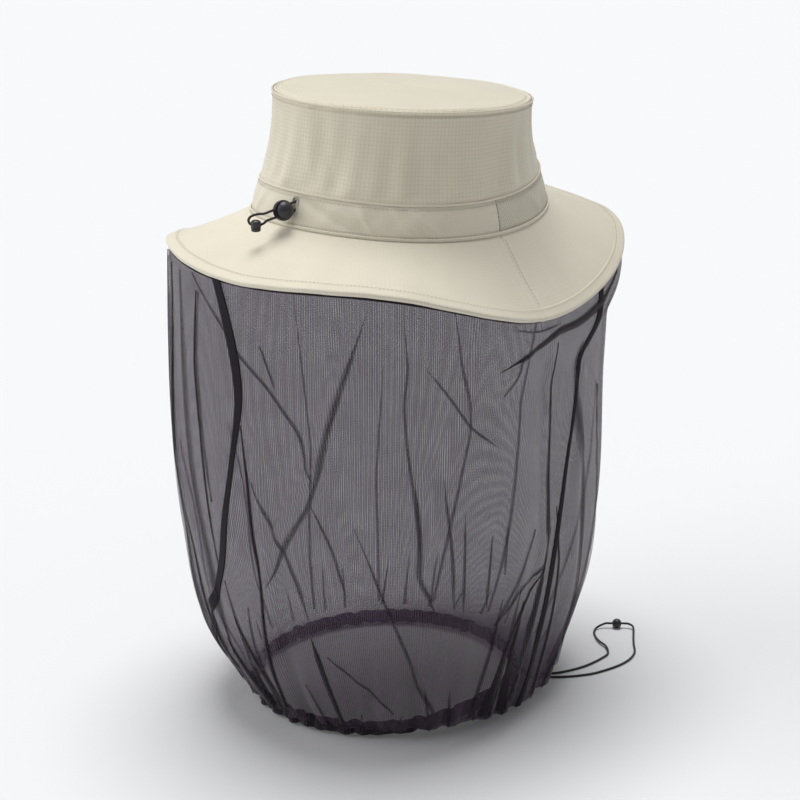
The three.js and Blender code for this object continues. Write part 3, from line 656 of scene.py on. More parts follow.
def hat_crown():
    angles = ring_angles(360)

    def side(angle, share):
        points = crown_surface(angle, share)
        outward = ellipse_normal(*CROWN_MIDDLE, angle)
        from_band = np.clip(share * 9, 0, 1)
        fade = (1 - share) ** 0.9 * from_band
        soft = puckers(angle, share, 3, (9, 14, 21, 33), 2.2) * fade + puckers(angle, share, 5, (5, 8), 1.2) * fade
        soft = soft + slanting_folds(CROWN_FOLDS, angle, share) * np.clip(1.2 - share, 0, 1) * from_band
        seam = 0.9 * bump_at(share, 0.985, 0.012) - 0.7 * bump_at(share, 0.955, 0.012)
        return points + outward * (soft + seam)[..., None]

    shares = np.concatenate([np.linspace(-0.03, 0.9, 42), np.linspace(0.91, 1.0, 16)])
    sides = sheet("crown_sides", side, angles, shares, 0.7, closed=True)
    finish(sides, "shell", "hat", "crown_back_panel", "crown_front_panel")

    def tip(angle, share):
        edge = ring("crown_top", angle, -0.5, 0.4)
        centre = xyz(0 * angle, 0 * angle - 2, 74.3 + 0 * angle)
        points = mix(centre, edge, share)
        crown = 4.2 * (1 - share ** 2.4) - bump_at(share, 0.965, 0.012)
        crown = crown + 0.5 * np.sin(3 * angle + 1) * share * (1 - share) * 4 + 0.3 * np.sin(7 * angle) * share ** 4
        points[..., 2] += crown - 1.2 * np.clip((share - 0.985) / 0.015, 0, 1) ** 2
        return points

    shares = np.concatenate([np.linspace(0.0004, 0.9, 40), np.linspace(0.91, 1.0, 20)])
    top = sheet("crown_top", tip, angles, shares, 0.7, closed=True, inward=-1.0)
    flat_uv(top)
    finish(top, "shell", "hat", "crown_tip")


def mesh_points(mesh):
    points = np.empty(len(mesh.vertices) * 3)
    mesh.vertices.foreach_get("co", points)
    return points.reshape(-1, 3)


def flat_uv(obj):
    """Lays the weave flat across a piece seen from above."""
    mesh = obj.data
    index = np.empty(len(mesh.loops), int)
    mesh.loops.foreach_get("vertex_index", index)
    mesh.uv_layers[0].data.foreach_set("uv", mesh_points(mesh)[index][:, :2].astype(np.float32).ravel())


# Slanting folds of the loose band
BAND_FOLDS = [
    (122, 131, 1.7, 1.5), (135, 146, 2.4, 1.7), (143, 155, 2.0, 1.4), (96, 126, 5.0, -1.7), (74, 66, 3.0, 0.9),
    (34, 24, 3.0, 0.9), (8, 16, 2.4, 0.8), (200, 210, 3.0, 0.7), (262, 252, 3.0, 0.8), (318, 330, 3.0, 0.8),
]


def band_cloth(angle, share):
    points = band_surface(angle, share)
    outward = ellipse_normal(*BAND_MIDDLE, angle)
    height = 0.8 + 0.3 * np.sin(11 * angle - 3 * share) + 0.15 * np.sin(34 * angle - 4 * share)
    height = height + slanting_folds(BAND_FOLDS, angle, share)
    middle = np.sin(np.pi * np.clip(share, 0, 1))
    return points + outward * (middle * height)[..., None]


# Half the gap, in radians, between the band's back cloth and its front mesh at each side
SEAM_GAP = 0.003


def hat_band():
    shares = np.linspace(0.03, 0.98, 20)
    back_angles = np.linspace(SEAM_GAP, np.pi - SEAM_GAP, 240)
    front_angles = np.linspace(np.pi + SEAM_GAP, 2 * np.pi - SEAM_GAP, 180)
    finish(sheet("band_back_cloth", band_cloth, back_angles, shares, 0.7), "shell", "hat", "band_back",
           material="shell_smooth")
    finish(sheet("band_front_mesh", band_cloth, front_angles, shares, 0.7), "vent", "hat", "band_front")
    angles = ring_angles(300)
    for edge, up, outline in (("top", 0.0, (0.55, 0.75, 0.5)), ("bottom", 0.9, (0.6, 1.0, 0.55))):
        piece = swept(f"band_{edge}_edge", ring(f"band_{edge}", angles, 0.5, up), rounded_outline(*outline))
        finish(piece, "shell", "hat", f"band_{edge}_piping", material="shell_smooth")


def hat_sweatband():
    def inside(angle, share):
        normal = surface_normal(band_surface, angle, share)
        wave = 0.35 * np.sin(40 * angle) * np.sin(np.pi * share)
        return band_surface(angle, share) - normal * (4.4 + wave)[..., None]

    shares = np.linspace(0.06, 1.0, 14)
    finish(sheet("sweatband_cloth", inside, ring_angles(240), shares, 1.1, closed=True), "lining", "hat", "sweatband")


def brim_cloth(angle, share, lift=0.0):
    """The brim's upper face with its waves and seams, raised by lift."""
    wave = 0.5 * np.sin(6 * angle + 0.8) + 0.35 * np.sin(13 * angle + 2 * share) + 0.25 * np.sin(29 * angle)
    dip = 1.4 * np.sin(np.pi * np.clip(share, 0, 1))
    height = wave * share * (1 - 0.5 * share) - dip + lift
    for seam in (0.0, np.pi):
        gap = np.abs(turn_gap(angle, seam)) * BRIM_RADIUS
        height = height - 0.6 * bump_at(gap, 0, 0.9) + 0.2 * bump_at(gap, 3, 1.8)
    return brim_surface(angle, share) + brim_up(angle) * height[..., None]


HEM_FOLD = 7.0


def hat_brim():
    angles = np.unique(np.concatenate([ring_angles(420), np.pi + np.linspace(-0.06, 0.06, 41)]))
    shares = np.linspace(-0.02, 0.985, 32)

    def layer(name, lift, angles, shares, thickness):
        return sheet(name, lambda a, s: brim_cloth(a, s, lift), angles, shares, thickness, inward=-1.0, closed=True)

    top = layer("brim_top", 0.0, angles, shares, 0.8)
    finish(top, "shell", "hat", "brim_upper_back", "brim_upper_front", material="shell_smooth")
    underside = layer("brim_underside", -2.5, ring_angles(300), np.linspace(0.02, 0.975, 16), 0.6)
    finish(underside, "lining", "hat", "brim_underlay")
    stiffener = layer("brim_foam", -1.2, ring_angles(240), np.linspace(0.03, 0.95, 14), 0.9)
    finish(stiffener, "foam", "hat", "brim_stiffener")

    def fold(angle, share):
        """The turned hem: over the top, round the edge and back underneath."""
        inner = 1 - HEM_FOLD / brim_width(angle)
        flat = 0.36
        turn = np.clip((share - flat) / (1 - 2 * flat), 0, 1) * np.pi
        reach = np.clip(np.where(share < 0.5, share, 1 - share) / flat, 0, 1)
        along = inner + (1 - inner) * reach + 0.024 * np.sin(turn)
        puff = 0.1 * np.sin(np.pi * np.clip(share / flat, 0, 1)) ** 0.5
        lift = 0.25 + puff - (1 - np.cos(turn)) / 2 * 3.7 - puff * (share > 0.5) * 0.5
        return brim_cloth(angle, along, lift)

    edge = sheet("brim_hem", fold, ring_angles(420), np.linspace(0, 1, 26), 0.35, inward=-1.0, closed=True)
    finish(edge, "shell", "hat", "brim_edge_binding", material="shell_smooth")


# ---- Stitching ----
STITCH_PITCH, STITCH_LENGTH, STITCH_RADIUS = 2.5, 1.75, 0.16


def stitch_row(line, normals, closed):
    """Short raised thread capsules along a line of points."""
    line = np.vstack([line, line[:1]]) if closed else line
    normals = np.vstack([normals, normals[:1]]) if closed else normals
    far = arc_lengths(line)
    starts = np.arange(STITCH_PITCH / 2, far[-1] - STITCH_LENGTH, STITCH_PITCH)
    points, faces = [], []
    ring_of = round_outline(1.0, 6)
    for start in starts:
        stations = start + STITCH_LENGTH * np.array([0.0, 0.12, 0.5, 0.88, 1.0])
        centre = np.stack([np.interp(stations, far, line[:, k]) for k in range(3)], axis=1)
        normal = unit(np.array([np.interp(start, far, normals[:, k]) for k in range(3)]))
        tangent = unit(centre[-1] - centre[0])
        side = np.cross(tangent, normal)
        lift = STITCH_RADIUS * np.array([-0.6, 0.4, 0.7, 0.4, -0.6])
        wide = STITCH_RADIUS * np.array([0.3, 0.85, 1.0, 0.85, 0.3])
        first = len(points)
        for c, up, w in zip(centre, lift, wide):
            points.extend(c + normal * up + w * (side * x + normal * y) for x, y in ring_of)
        faces.extend(grid_faces(5, 6, wrap_columns=True, first=first))
        faces.append([first + k for k in reversed(range(6))])
        faces.append([first + 24 + k for k in range(6)])
    return points, faces


def surface_row(surface, angles, shares, lift, closed=True, outward=1.0):
    shares = np.broadcast_to(shares, angles.shape)
    normals = surface_normal(surface, angles, shares) * outward
    return stitch_row(surface(angles, shares) + normals * lift, normals, closed)


def hat_stitching():
    angles = ring_angles(720)
    inner = 1 - HEM_FOLD / brim_width(angles)
    rows = [
        surface_row(band_cloth, angles, 0.87, 0.1),
        surface_row(band_cloth, angles, 0.13, 0.1),
        surface_row(lambda a, s: brim_cloth(a, s, 0.75), angles, inner + 1.2 / 59, 0.1, outward=-1.0),
        surface_row(crown_surface, angles, 0.93, 0.3),
    ]
    for seam in (0.0, np.pi):
        shares = np.linspace(0.05, 0.87, 80)
        rows.append(surface_row(brim_cloth, np.full(80, seam + 0.022), shares, 0.1, closed=False, outward=-1.0))
    points, faces = [], []
    for more, more_faces in rows:
        faces.extend([[index + len(points) for index in face] for face in more_faces])
        points.extend(more)
    uv = np.zeros((len(points), 2))
    uv[:, 0] = np.arange(len(points)) * 0.0002
    finish(recalculated(build("hat_stitches", points, faces, uv)), "shell", "hat", material="thread")


# ---- Cord lock, cord end and eyelets ----
def placed(points, origin, axis, side):
    across = np.cross(axis, side)
    return np.asarray(origin) + points @ np.stack([side, across, axis])


def lathe(name, profile, sides=48):
    """A turned solid from [(radius, along), ...], which starts and ends on the axis, about Z."""
    turns = ring_angles(sides)
    points, faces = [], []
    rings = profile[1:-1]
    for radius, along in rings:
        points.extend([radius * math.cos(t), radius * math.sin(t), along] for t in turns)
    faces.extend(grid_faces(len(rings), sides, wrap_columns=True))
    points.extend([[0, 0, profile[0][1]], [0, 0, profile[-1][1]]])
    low, high = len(points) - 2, len(points) - 1
    last = (len(rings) - 1) * sides
    for k in range(sides):
        faces.append([low, (k + 1) % sides, k])
        faces.append([high, last + k, last + (k + 1) % sides])
    return recalculated(build(name, points, faces, np.array(points)[:, :2] * MM))


def slot_cutter(name, half_width, half_height, length, centre_z=0.0):
    outline = np.array(rounded_outline(half_width, half_height, half_height * 0.98, 5))
    points = [[x, y_out, z + centre_z] for y_out in (-length / 2, length / 2) for x, z in outline]
    count = len(outline)
    faces = grid_faces(2, count, wrap_columns=True)
    faces += [list(range(count)), [count + k for k in reversed(range(count))]]
    return recalculated(build(name, points, faces))


def cut(obj, cutter):
    modifier = obj.modifiers.new("cut", "BOOLEAN")
    modifier.operation = "DIFFERENCE"
    modifier.object = cutter
    modifier.solver = "EXACT"
    bpy.context.view_layer.update()
    evaluated = obj.evaluated_get(bpy.context.evaluated_depsgraph_get())
    mesh = bpy.data.meshes.new_from_object(evaluated)
    obj.modifiers.clear()
    obj.data = mesh
    bpy.data.objects.remove(cutter)
    return obj


def set_place(obj, origin, axis, side):
    """Moves a turned piece's mesh from about Z to its axis, and smooths all but its sharp edges."""
    mesh = obj.data
    mesh.vertices.foreach_set("co", (placed(mesh_points(mesh) / MM, origin, axis, side) * MM).ravel())
    mesh.update()
    mesh.polygons.foreach_set("use_smooth", [True] * len(mesh.polygons))
    mesh.set_sharp_from_angle(angle=math.radians(35))
    return obj


def ball_arc(radius, low, high, steps):
    """Profile points on a ball about the origin, from one height to another."""
    turns = np.linspace(math.asin(low / radius), math.asin(high / radius), steps + 1)
    return [(radius * math.cos(t), radius * math.sin(t)) for t in turns]


def cord_lock():
    slot = STRAND_OFFSET + CORD_RADIUS + 0.3
    bore = CORD_RADIUS + 0.3
    barrel = [*ball_arc(6.5, -6.5, 0.9, 30), (6.3, 1.1), (6.1, 1.2), (5.1, 1.2), (4.9, 1.0), (4.9, -3.5), (2.3, -3.5),
              (2.3, -4.9), (0, -4.9)]
    body = cut(lathe("lock_barrel", barrel, 64), slot_cutter("slot", slot, bore, 20))
    finish(set_place(body, LOCK_CENTRE, LOCK_AXIS, LOCK_SIDE), "plastic", "cord_lock", "cord_lock_barrel")
    plunger = [(0, -1.7), (4.4, -1.7), (4.6, -1.5), (4.6, 2.9), (5.3, 3.0), (5.5, 3.1), *ball_arc(6.4, 3.25, 6.4, 18)]
    button = cut(lathe("lock_plunger_button", plunger, 64), slot_cutter("slot", slot, bore + 0.75, 20, 0.75))
    finish(set_place(button, LOCK_CENTRE, LOCK_AXIS, LOCK_SIDE), "plastic", "lock_plunger", "cord_lock_plunger")
    turns = np.linspace(0, 3, 150)
    coil = np.stack([1.6 * np.cos(turns * 2 * np.pi), 1.6 * np.sin(turns * 2 * np.pi), -4.35 + turns / 3 * 2.1], 1)
    wire = placed(coil, LOCK_CENTRE, LOCK_AXIS, LOCK_SIDE)
    spring = swept("lock_spring_wire", wire, round_outline(0.25, 8), ups=frames_along(wire), closed=False)
    finish(spring, "steel", "cord_lock", "cord_lock_spring")
    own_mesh(spring)


def cord_end():
    centre = loop_point(*END_PLACE)
    up, side = np.array([0, 0, 1.0]), LOOP_ALONG
    turns = np.radians(np.arange(0, 85, 8))
    rounding = list(zip(3.3 * np.cos(turns), 1.5 + 2.2 * np.sin(turns)))
    profile = [(0, -1.25), (3.1, -1.25), (3.3, -1.05), *rounding, (0, 3.7)]
    cap = cut(lathe("cord_end_dome", profile), slot_cutter("hole", 1.5, 1.5, 20, END_HOLE))
    across = np.cross(up, side)
    pieces = [finish(set_place(cap, centre, up, across), "plastic", "hat", "cord_end_cap")]
    plug = [(0, -3.7), (2.3, -3.7), (2.8, -3.4), (3.0, -3.0), (3.0, -1.7), (2.85, -1.55), (0, -1.55)]
    base = set_place(lathe("cord_end_base", plug), centre, up, across)
    pieces.append(finish(base, "plastic", "hat", "cord_end_plug"))
    return pieces


def eyelet(name, half_length, half_width, wall, origin, normal, side, slot, body, node, material):
    """An embroidered eyelet: thread wound round an oval opening."""
    straight = half_length - half_width
    turns = ring_angles(96)
    middle = half_width - wall / 2
    line = np.stack([np.sign(np.cos(turns)) * straight * (np.abs(np.cos(turns)) > 0.02) + middle * np.cos(turns),
                     middle * np.sin(turns), 0 * turns], axis=1)
    ripple = 1 + 0.12 * np.cos(48 * turns)
    scale = np.stack([ripple, ripple], axis=1)
    piece = swept(name, line, round_outline(wall / 2, 10), scale=scale)
    set_place(piece, origin, normal, side)
    return finish(piece, slot, body, node, material=material)


def inner_band_cord():
    angles = np.linspace(EYELET_ANGLE + 0.05, EYELET_ANGLE + 2 * np.pi - 0.05, 260)
    shares = np.full(260, EYELET_RISE)
    line = band_surface(angles, shares) - surface_normal(band_surface, angles, shares) * 2.6
    piece = swept("band_elastic", line, round_outline(CORD_RADIUS, 10), closed=False)
    finish(piece, "cord", "hat", "band_drawcord")


# ---- Veil ----
NET_SEAMS = (1.54, 3.80)
BELLY = {"x": 1.8, "y": 1.8, "radius": 104.0, "z": -332.0}
TURN = 0.93
NET_BELOW_BRIM = 2.4


def hem_ruffle(angle):
    """How far the gathered casing swings out and up at each angle."""
    out = 0.9 * np.sin(37 * angle + 2 * np.sin(3 * angle)) + 0.5 * np.sin(61 * angle + 1.3 * np.sin(5 * angle))
    up = 0.4 * np.sin(29 * angle + 1) + 0.3 * np.sin(53 * angle)
    return out, up + 5.0 * lobe(angle, 188, 30) - 0.4 * lobe(angle, 10, 60)


def hem_line(angle, outward=0.0, up=0.0):
    out, rise = hem_ruffle(angle)
    return hem_point(angle, outward + out, up + rise)


# Long folds: each is a list of (fall share, angle in degrees), its depth and its half width in mm
CREASES = [
    ([(0.27, 100), (0.45, 101), (0.60, 101), (0.80, 99), (1.0, 97)], 2.4, 4.5),
    ([(0.05, 128), (0.16, 123), (0.35, 116), (0.49, 107), (0.64, 100)], 2.2, 4.5),
    ([(0.30, 141), (0.55, 141), (0.80, 143), (1.0, 146)], 1.8, 5.0),
    ([(0.02, 178), (0.10, 171), (0.20, 160)], 2.4, 5.0),
    ([(0.04, 187), (0.26, 188), (0.54, 189), (0.72, 183), (1.0, 178)], 2.6, 5.0),
    ([(0.02, 212), (0.25, 212), (0.55, 206), (0.85, 205), (1.0, 208)], 2.6, 5.5),
    ([(0.05, 60), (0.40, 66), (0.75, 76), (1.0, 84)], 2.6, 6.0),
    ([(0.05, 20), (0.40, 14), (0.75, 20), (1.0, 30)], 2.6, 7.0),
    ([(0.05, 335), (0.40, 342), (0.75, 338), (1.0, 330)], 2.8, 7.0),
    ([(0.05, 300), (0.40, 295), (0.75, 303), (1.0, 310)], 2.6, 7.0),
    ([(0.05, 262), (0.40, 270), (0.75, 264), (1.0, 258)], 2.8, 7.0),
    ([(0.02, 238), (0.30, 232), (0.65, 236), (1.0, 228)], 3.0, 6.0),
]


def crease_shift(angle, fall):
    """Radial and sideways shift of the long folds: each leans over so that the net doubles on itself."""
    radial, sideways = 0 * angle, 0 * angle
    degrees = np.degrees(angle)
    for line, depth, width in CREASES:
        falls, places = zip(*line)
        centre = np.interp(fall, falls, places)
        gap = np.radians(turn_gap(degrees, centre, 360)) * NET_RADIUS / width
        fade = smoothstep(fall, falls[0] - 0.02, falls[0] + 0.12)
        if falls[-1] < 0.99:
            fade = fade * (1 - smoothstep(fall, falls[-1] - 0.12, falls[-1] + 0.02))
        ridge = np.exp(-gap ** 2)
        radial = radial + fade * depth * ridge
        sideways = sideways + fade * depth * 1.15 * gap * ridge
    return radial, sideways


# Pleats of the gathered hem: waves round it, phase, size in mm and slant
GATHERS = [(rng.uniform(18, 60), rng.uniform(0, 2 * np.pi), rng.uniform(0.25, 1.0), rng.uniform(-6, 6))
           for _ in range(26)]


def gather_shift(angle, fall):
    """Pleats that fan up from the gathered hem, and softer swells above them."""
    total = 0 * angle
    for waves, phase, size, slant in GATHERS:
        reach = 0.93 - 14.0 / waves * 0.55
        fade = smoothstep(fall, reach - 0.25, 1.0)
        total = total + size * fade * np.sin(np.round(waves) * angle + phase + slant * fall) * (26 / waves)
    soft = 1.3 * np.sin(5 * angle + 2.2 * fall) + 0.9 * np.sin(9 * angle - 3 * fall + 1) + 0.5 * np.sin(16 * angle + 2)
    return 0.62 * total + soft * np.sin(np.pi * np.clip(fall, 0, 1)) ** 0.7


def net_surface(angle, share):
    """The hanging net: from under the brim edge, out over the belly, then turned in to the hem."""
    angle = np.asarray(angle, float)
    share = np.asarray(share, float)
    top = brim_surface(angle, 1 + 0 * share) - brim_up(angle) * NET_BELOW_BRIM
    fall = np.clip(share / TURN, 0, 1)
    radius = (BELLY["radius"] + 2.5 * np.cos(angle - np.pi / 4) + 1.5 * np.cos(angle - 0.75 * np.pi)
              + 4.0 * np.cos(2 * (angle - np.pi / 4)))
    belly = xyz(BELLY["x"] + radius * np.cos(angle), BELLY["y"] + radius * np.sin(angle), BELLY["z"] + 0 * share)
    swell = 1 - fall ** 3.2
    body = belly + (top - belly) * swell[..., None]
    body[..., 2] = top[..., 2] + (belly[..., 2] - top[..., 2]) * fall
    inner = hem_line(angle, 1.2, 4.0)
    tuck = np.clip((share - TURN) / (1 - TURN), 0, 1)
    points = body + (inner - body) * (smoothstep(tuck, 0, 1) * (share > TURN))[..., None]
    outward = xyz(np.cos(angle), np.sin(angle), 0 * angle)
    along = xyz(-np.sin(angle), np.cos(angle), 0 * angle)
    low_swell = 4.5 * smoothstep(fall, 0.6, 0.8) * (1 - 1.6 * smoothstep(fall, 0.84, 1.0))
    bulge = (4.2 * np.sin(np.pi * fall) + low_swell) * lobe(angle, 45, 60)
    pinch = -13.0 * smoothstep(fall, 0.05, 0.18) * (1 - smoothstep(fall, 0.26, 0.8)) * lobe(angle, 222, 38)
    crease, lean = crease_shift(angle, fall)
    wrinkle = gather_shift(angle, fall) * smoothstep(fall, 0.0, 0.12)
    hold = 1 - smoothstep(tuck, 0.2, 1.0)
    start = smoothstep(fall, 0.0, 0.03)
    radial = (bulge + pinch + wrinkle + crease) * hold * start
    points = points + outward * radial[..., None] + along * (lean * hold * start)[..., None]
    return points


def net_panel(name, start, end, columns, node):
    angles = np.linspace(start, end, columns)
    shares = np.concatenate([np.linspace(0, 0.9, 150), np.linspace(0.903, 1, 40)])
    grid_a, grid_s = np.meshgrid(angles, shares)
    points = net_surface(grid_a, grid_s)
    along = (grid_a - start) * NET_UV_RADIUS * MM
    across = np.repeat(arc_lengths(points[:, columns // 2])[:, None], columns, axis=1) * MM
    uv = np.stack([along, across], axis=-1).reshape(-1, 2)
    piece = build(name, points.reshape(-1, 3), grid_faces(len(shares), columns), uv)
    hang(finish(piece, "net", None, node))
    return piece


def hang(piece):
    """Bakes the piece's placement into its mesh."""
    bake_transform(piece)
    return piece


def net_offset(angle, share, lift):
    normal = -surface_normal(net_surface, angle, share)
    return net_surface(angle, share) + normal * np.asarray(lift)[..., None]


def seam_tape(name, node, places, width, narrow):
    """A black tape sewn over a seam of the net; places are (share, angle in degrees), narrow how far it curls up."""
    shares = np.linspace(0, TURN, 160)
    centres = smoothed(np.radians(np.interp(shares, *zip(*places))), 60)
    steps = np.linspace(-0.5, 0.5, 7)
    curl = 1 - narrow * bump_at(shares, 0.36, 0.16)
    spread = steps[None, :] * width * curl[:, None] / TAPE_RADIUS
    grid_a = centres[:, None] + spread
    grid_s = np.repeat(shares[:, None], len(steps), axis=1)
    outer = net_offset(grid_a, grid_s, 1.1 + 0 * grid_a)
    inner = net_offset(grid_a, grid_s, 0.5 + 0 * grid_a)
    down = arc_lengths(outer[:, len(steps) // 2]) * MM
    piece = solid_between(name, outer, inner, steps * width * MM, down)
    return hang(finish(piece, "tape", None, node))


# Doubled net: places down a fold as (share, angle in degrees), and its width in mm at the top and the bottom
PLEATS = [
    ([(0.02, 58), (0.5, 60), (0.85, 66)], 13.0, 12.0),
    ([(0.02, 71), (0.4, 74), (0.8, 80)], 8.0, 7.0),
    ([(0.02, 46), (0.88, 50)], 10.0, 12.0),
    ([(0.10, 205), (0.45, 212), (0.88, 208)], 7.0, 11.0),
    ([(0.04, 81), (0.18, 80), (0.22, 81), (0.32, 82), (0.45, 84)], 2.0, 3.0),
    ([(0.01, 78), (0.09, 91), (0.13, 95), (0.19, 104), (0.23, 108), (0.27, 112), (0.34, 114), (0.38, 115)],
     2.0, 2.6),
    ([(0.02, 129), (0.07, 127), (0.16, 123), (0.26, 119), (0.35, 116), (0.42, 113), (0.49, 107), (0.60, 100)],
     1.6, 4.4),
    ([(0.11, 102), (0.19, 106)], 1.4, 1.8),
    ([(0.02, 137), (0.13, 138), (0.20, 137), (0.29, 138), (0.38, 140), (0.47, 141), (0.52, 141)], 1.2, 2.2),
    ([(0.27, 96), (0.38, 97), (0.50, 97), (0.59, 98), (0.75, 96), (0.90, 95)], 2.4, 5.4),
    ([(0.38, 99), (0.45, 102), (0.52, 106), (0.59, 109), (0.66, 111)], 1.8, 3.2),
    ([(0.12, 142), (0.17, 148), (0.23, 154), (0.27, 163)], 1.6, 2.4),
    ([(0.02, 189), (0.025, 178), (0.02, 167)], 2.4, 1.2),
    ([(0.07, 172), (0.12, 169), (0.16, 164)], 1.8, 1.2),
    ([(0.50, 192), (0.58, 187), (0.61, 176), (0.68, 166)], 2.0, 4.0),
    ([(0.74, 115), (0.78, 120), (0.83, 128), (0.88, 134)], 1.6, 2.0),
    ([(0.45, 125), (0.51, 128), (0.58, 131), (0.66, 135), (0.79, 141), (0.88, 147)], 1.4, 3.0),
    ([(0.41, 114), (0.50, 119), (0.60, 122)], 1.4, 2.4),
    ([(0.34, 140), (0.46, 141), (0.55, 141), (0.64, 146)], 1.8, 3.0),
    ([(0.34, 147), (0.51, 150), (0.62, 151)], 1.4, 3.2),
    ([(0.41, 153), (0.63, 154)], 1.4, 2.8),
    ([(0.46, 162), (0.63, 162)], 1.4, 3.0),
    ([(0.45, 168), (0.56, 168)], 1.4, 2.2),
    ([(0.48, 182), (0.59, 174), (0.68, 166)], 1.8, 3.4),
    ([(0.62, 84), (0.76, 86), (0.90, 84)], 2.0, 6.0),
    ([(0.66, 92), (0.78, 90), (0.92, 88)], 2.0, 5.4),
    ([(0.60, 176), (0.74, 173), (0.92, 170)], 2.0, 6.0),
    ([(0.62, 168), (0.76, 166), (0.92, 163)], 1.6, 5.0),
]
# The broad dark folds, where the net lies in several layers; they take a darker copy of the net, whose colour is
# painted shade
BROAD_FOLDS = [
    ([(0.012, 222), (0.035, 213), (0.04, 200), (0.035, 189), (0.065, 176), (0.11, 163)], 8.6, 2.4),
    ([(0.06, 188), (0.16, 188), (0.26, 189), (0.38, 189), (0.54, 190), (0.63, 185), (0.72, 183), (0.90, 180)],
     1.2, 7.4),
    ([(0.27, 96), (0.38, 97), (0.50, 97), (0.59, 98), (0.75, 96), (0.90, 95)], 1.4, 4.0),
    ([(0.70, 111), (0.80, 113), (0.92, 115)], 3.6, 4.0),
    ([(0.58, 187), (0.66, 178), (0.76, 172), (0.92, 168)], 1.6, 8.0),
    ([(0.64, 178), (0.76, 176), (0.92, 176)], 2.0, 9.0),
    ([(0.70, 85), (0.80, 88), (0.92, 90)], 2.0, 8.0),
    ([(0.76, 79), (0.85, 82), (0.92, 84)], 2.0, 7.0),
    ([(0.46, 196), (0.60, 198), (0.92, 194)], 1.2, 5.0),
    ([(0.02, 51), (0.40, 53), (0.86, 58)], 3.0, 4.0),
    ([(0.02, 64), (0.40, 66), (0.86, 72)], 2.2, 3.4),
    ([(0.04, 80), (0.18, 79), (0.32, 81), (0.60, 82)], 2.6, 1.6),
]
PLEAT_STEPS = 5


def further_pleats():
    """Pleats for the half of the net that faces the wearer's front and right, and small ones all round the hem."""
    more = []
    for centre in np.arange(222, 424, 26):
        place = centre + rng.uniform(-4, 4)
        lean, low = rng.uniform(-10, 10), rng.uniform(0.03, 0.45)
        places = [(low, place), ((low + 0.92) / 2, place + lean), (0.92, place + lean * 0.4)]
        more.append((places, 1.0, rng.uniform(2, 3.6)))
    for centre in np.arange(0, 360, 12):
        place = centre + rng.uniform(-3, 3)
        more.append(([(rng.uniform(0.80, 0.90), place + rng.uniform(-3, 3)), (0.93, place)], 1.0, rng.uniform(2, 4)))
    return more


def net_pleats(name, strips, material, layers):
    """Folds where the net lies double on itself, as narrow strips of net just outside it, in the material given; the
    darker net copies used here carry painted shade.
    """
    points, faces, uvs = [], [], []
    across = np.linspace(-0.5, 0.5, PLEAT_STEPS)
    for places, top_width, low_width in strips:
        falls, degrees = zip(*places)
        knots = np.radians(degrees) * NET_RADIUS, np.array(falls) * NET_DROP
        far = np.concatenate([[0], np.cumsum(np.hypot(np.diff(knots[0]), np.diff(knots[1])))])
        count = max(12, int(far[-1] / 2.2))
        progress = np.linspace(0, 1, count)
        path = np.stack([np.interp(progress * far[-1], far, knot) for knot in knots], axis=1)
        path = smoothed(path, 6)
        tangent = units(np.gradient(path, axis=0))
        runs_out = falls[-1] < 0.85
        taper = np.clip(np.minimum(progress, (1 - progress) if runs_out else 1) * 5, 0.12, 1)
        width = (top_width + (low_width - top_width) * progress) * taper
        for layer, share_of_width in layers:
            reach = across[None, :] * (share_of_width * width)[:, None]
            grid_a = (path[:, :1] - tangent[:, 1:] * reach) / NET_RADIUS
            grid_s = np.clip((path[:, 1:] + tangent[:, :1] * reach) / NET_DROP, 0.005, TURN)
            swell = layer + 0.4 * (1 - (2 * across[None, :]) ** 2) + 0 * grid_a
            strip = net_offset(grid_a, grid_s, swell)
            first = sum(len(block) for block in points)
            points.append(strip.reshape(-1, 3))
            faces.extend(grid_faces(count, PLEAT_STEPS, first=first))
            uvs.append(np.stack([grid_a * NET_UV_RADIUS * MM, grid_s * NET_DROP * MM], axis=-1).reshape(-1, 2))
    piece = build(name, np.concatenate(points), faces, np.concatenate(uvs))
    return hang(finish(piece, "net", None, material=material))


def top_tape():
    """The tape that joins the net under the brim edge, with its thin black line showing."""
    angles = ring_angles(420)
    up = brim_up(angles)
    centre = brim_surface(angles, 1 - 3.2 / brim_width(angles)) - up * 4.1
    piece = swept("veil_binding", centre, rounded_outline(4.2, 0.6, 0.5), ups=up)
    finish(piece, "tape", "hat", "veil_top_tape")


def hem_band():
    angles = ring_angles(900)
    centre = hem_line(angles, 0, 0.5)
    fold = 1 + 0.14 * np.sin(73 * angles + 3 * np.sin(4 * angles))
    scale = np.stack([fold, 1 + 0.03 * np.sin(47 * angles)], axis=1)
    piece = swept("hem_casing", centre, rounded_outline(1.9, 4.7, 1.5, 4), scale=scale)
    # partly real, partly painted: denser cover for the bunched layers, and a darker colour that is painted shade among
    # the gathers
    finish(piece, "tape", "hem", "veil_hem_casing", material="net_painted_shade_gathered")
    core = swept("hem_elastic", hem_line(np.linspace(HEM_EYELET_ANGLE + 0.05, HEM_EYELET_ANGLE + 2 * np.pi - 0.05, 600),
                                         0, -1.5), round_outline(CORD_RADIUS, 8), closed=False)
    finish(core, "cord", "hem", "hem_drawcord")


def hem_ball():
    radius = BALL["radius"]
    reach = radius * math.sin(math.radians(86))
    profile = [(0, -radius), *ball_arc(radius, -reach, reach, 24), (0, radius)]
    ball = cut(lathe("hem_ball_lock", profile), slot_cutter("hole", 1.1, 1.1, 20))
    path = unit([*BALL_PATH, 0])
    side = np.cross(path, [0, 0, 1.0])
    centre = np.array([BALL["x"], BALL["y"], FLOOR + radius + 0.1])
    return finish(set_place(ball, centre, np.array([0, 0, 1.0]), side), "plastic", "hem_ball", "hem_cord_ball")


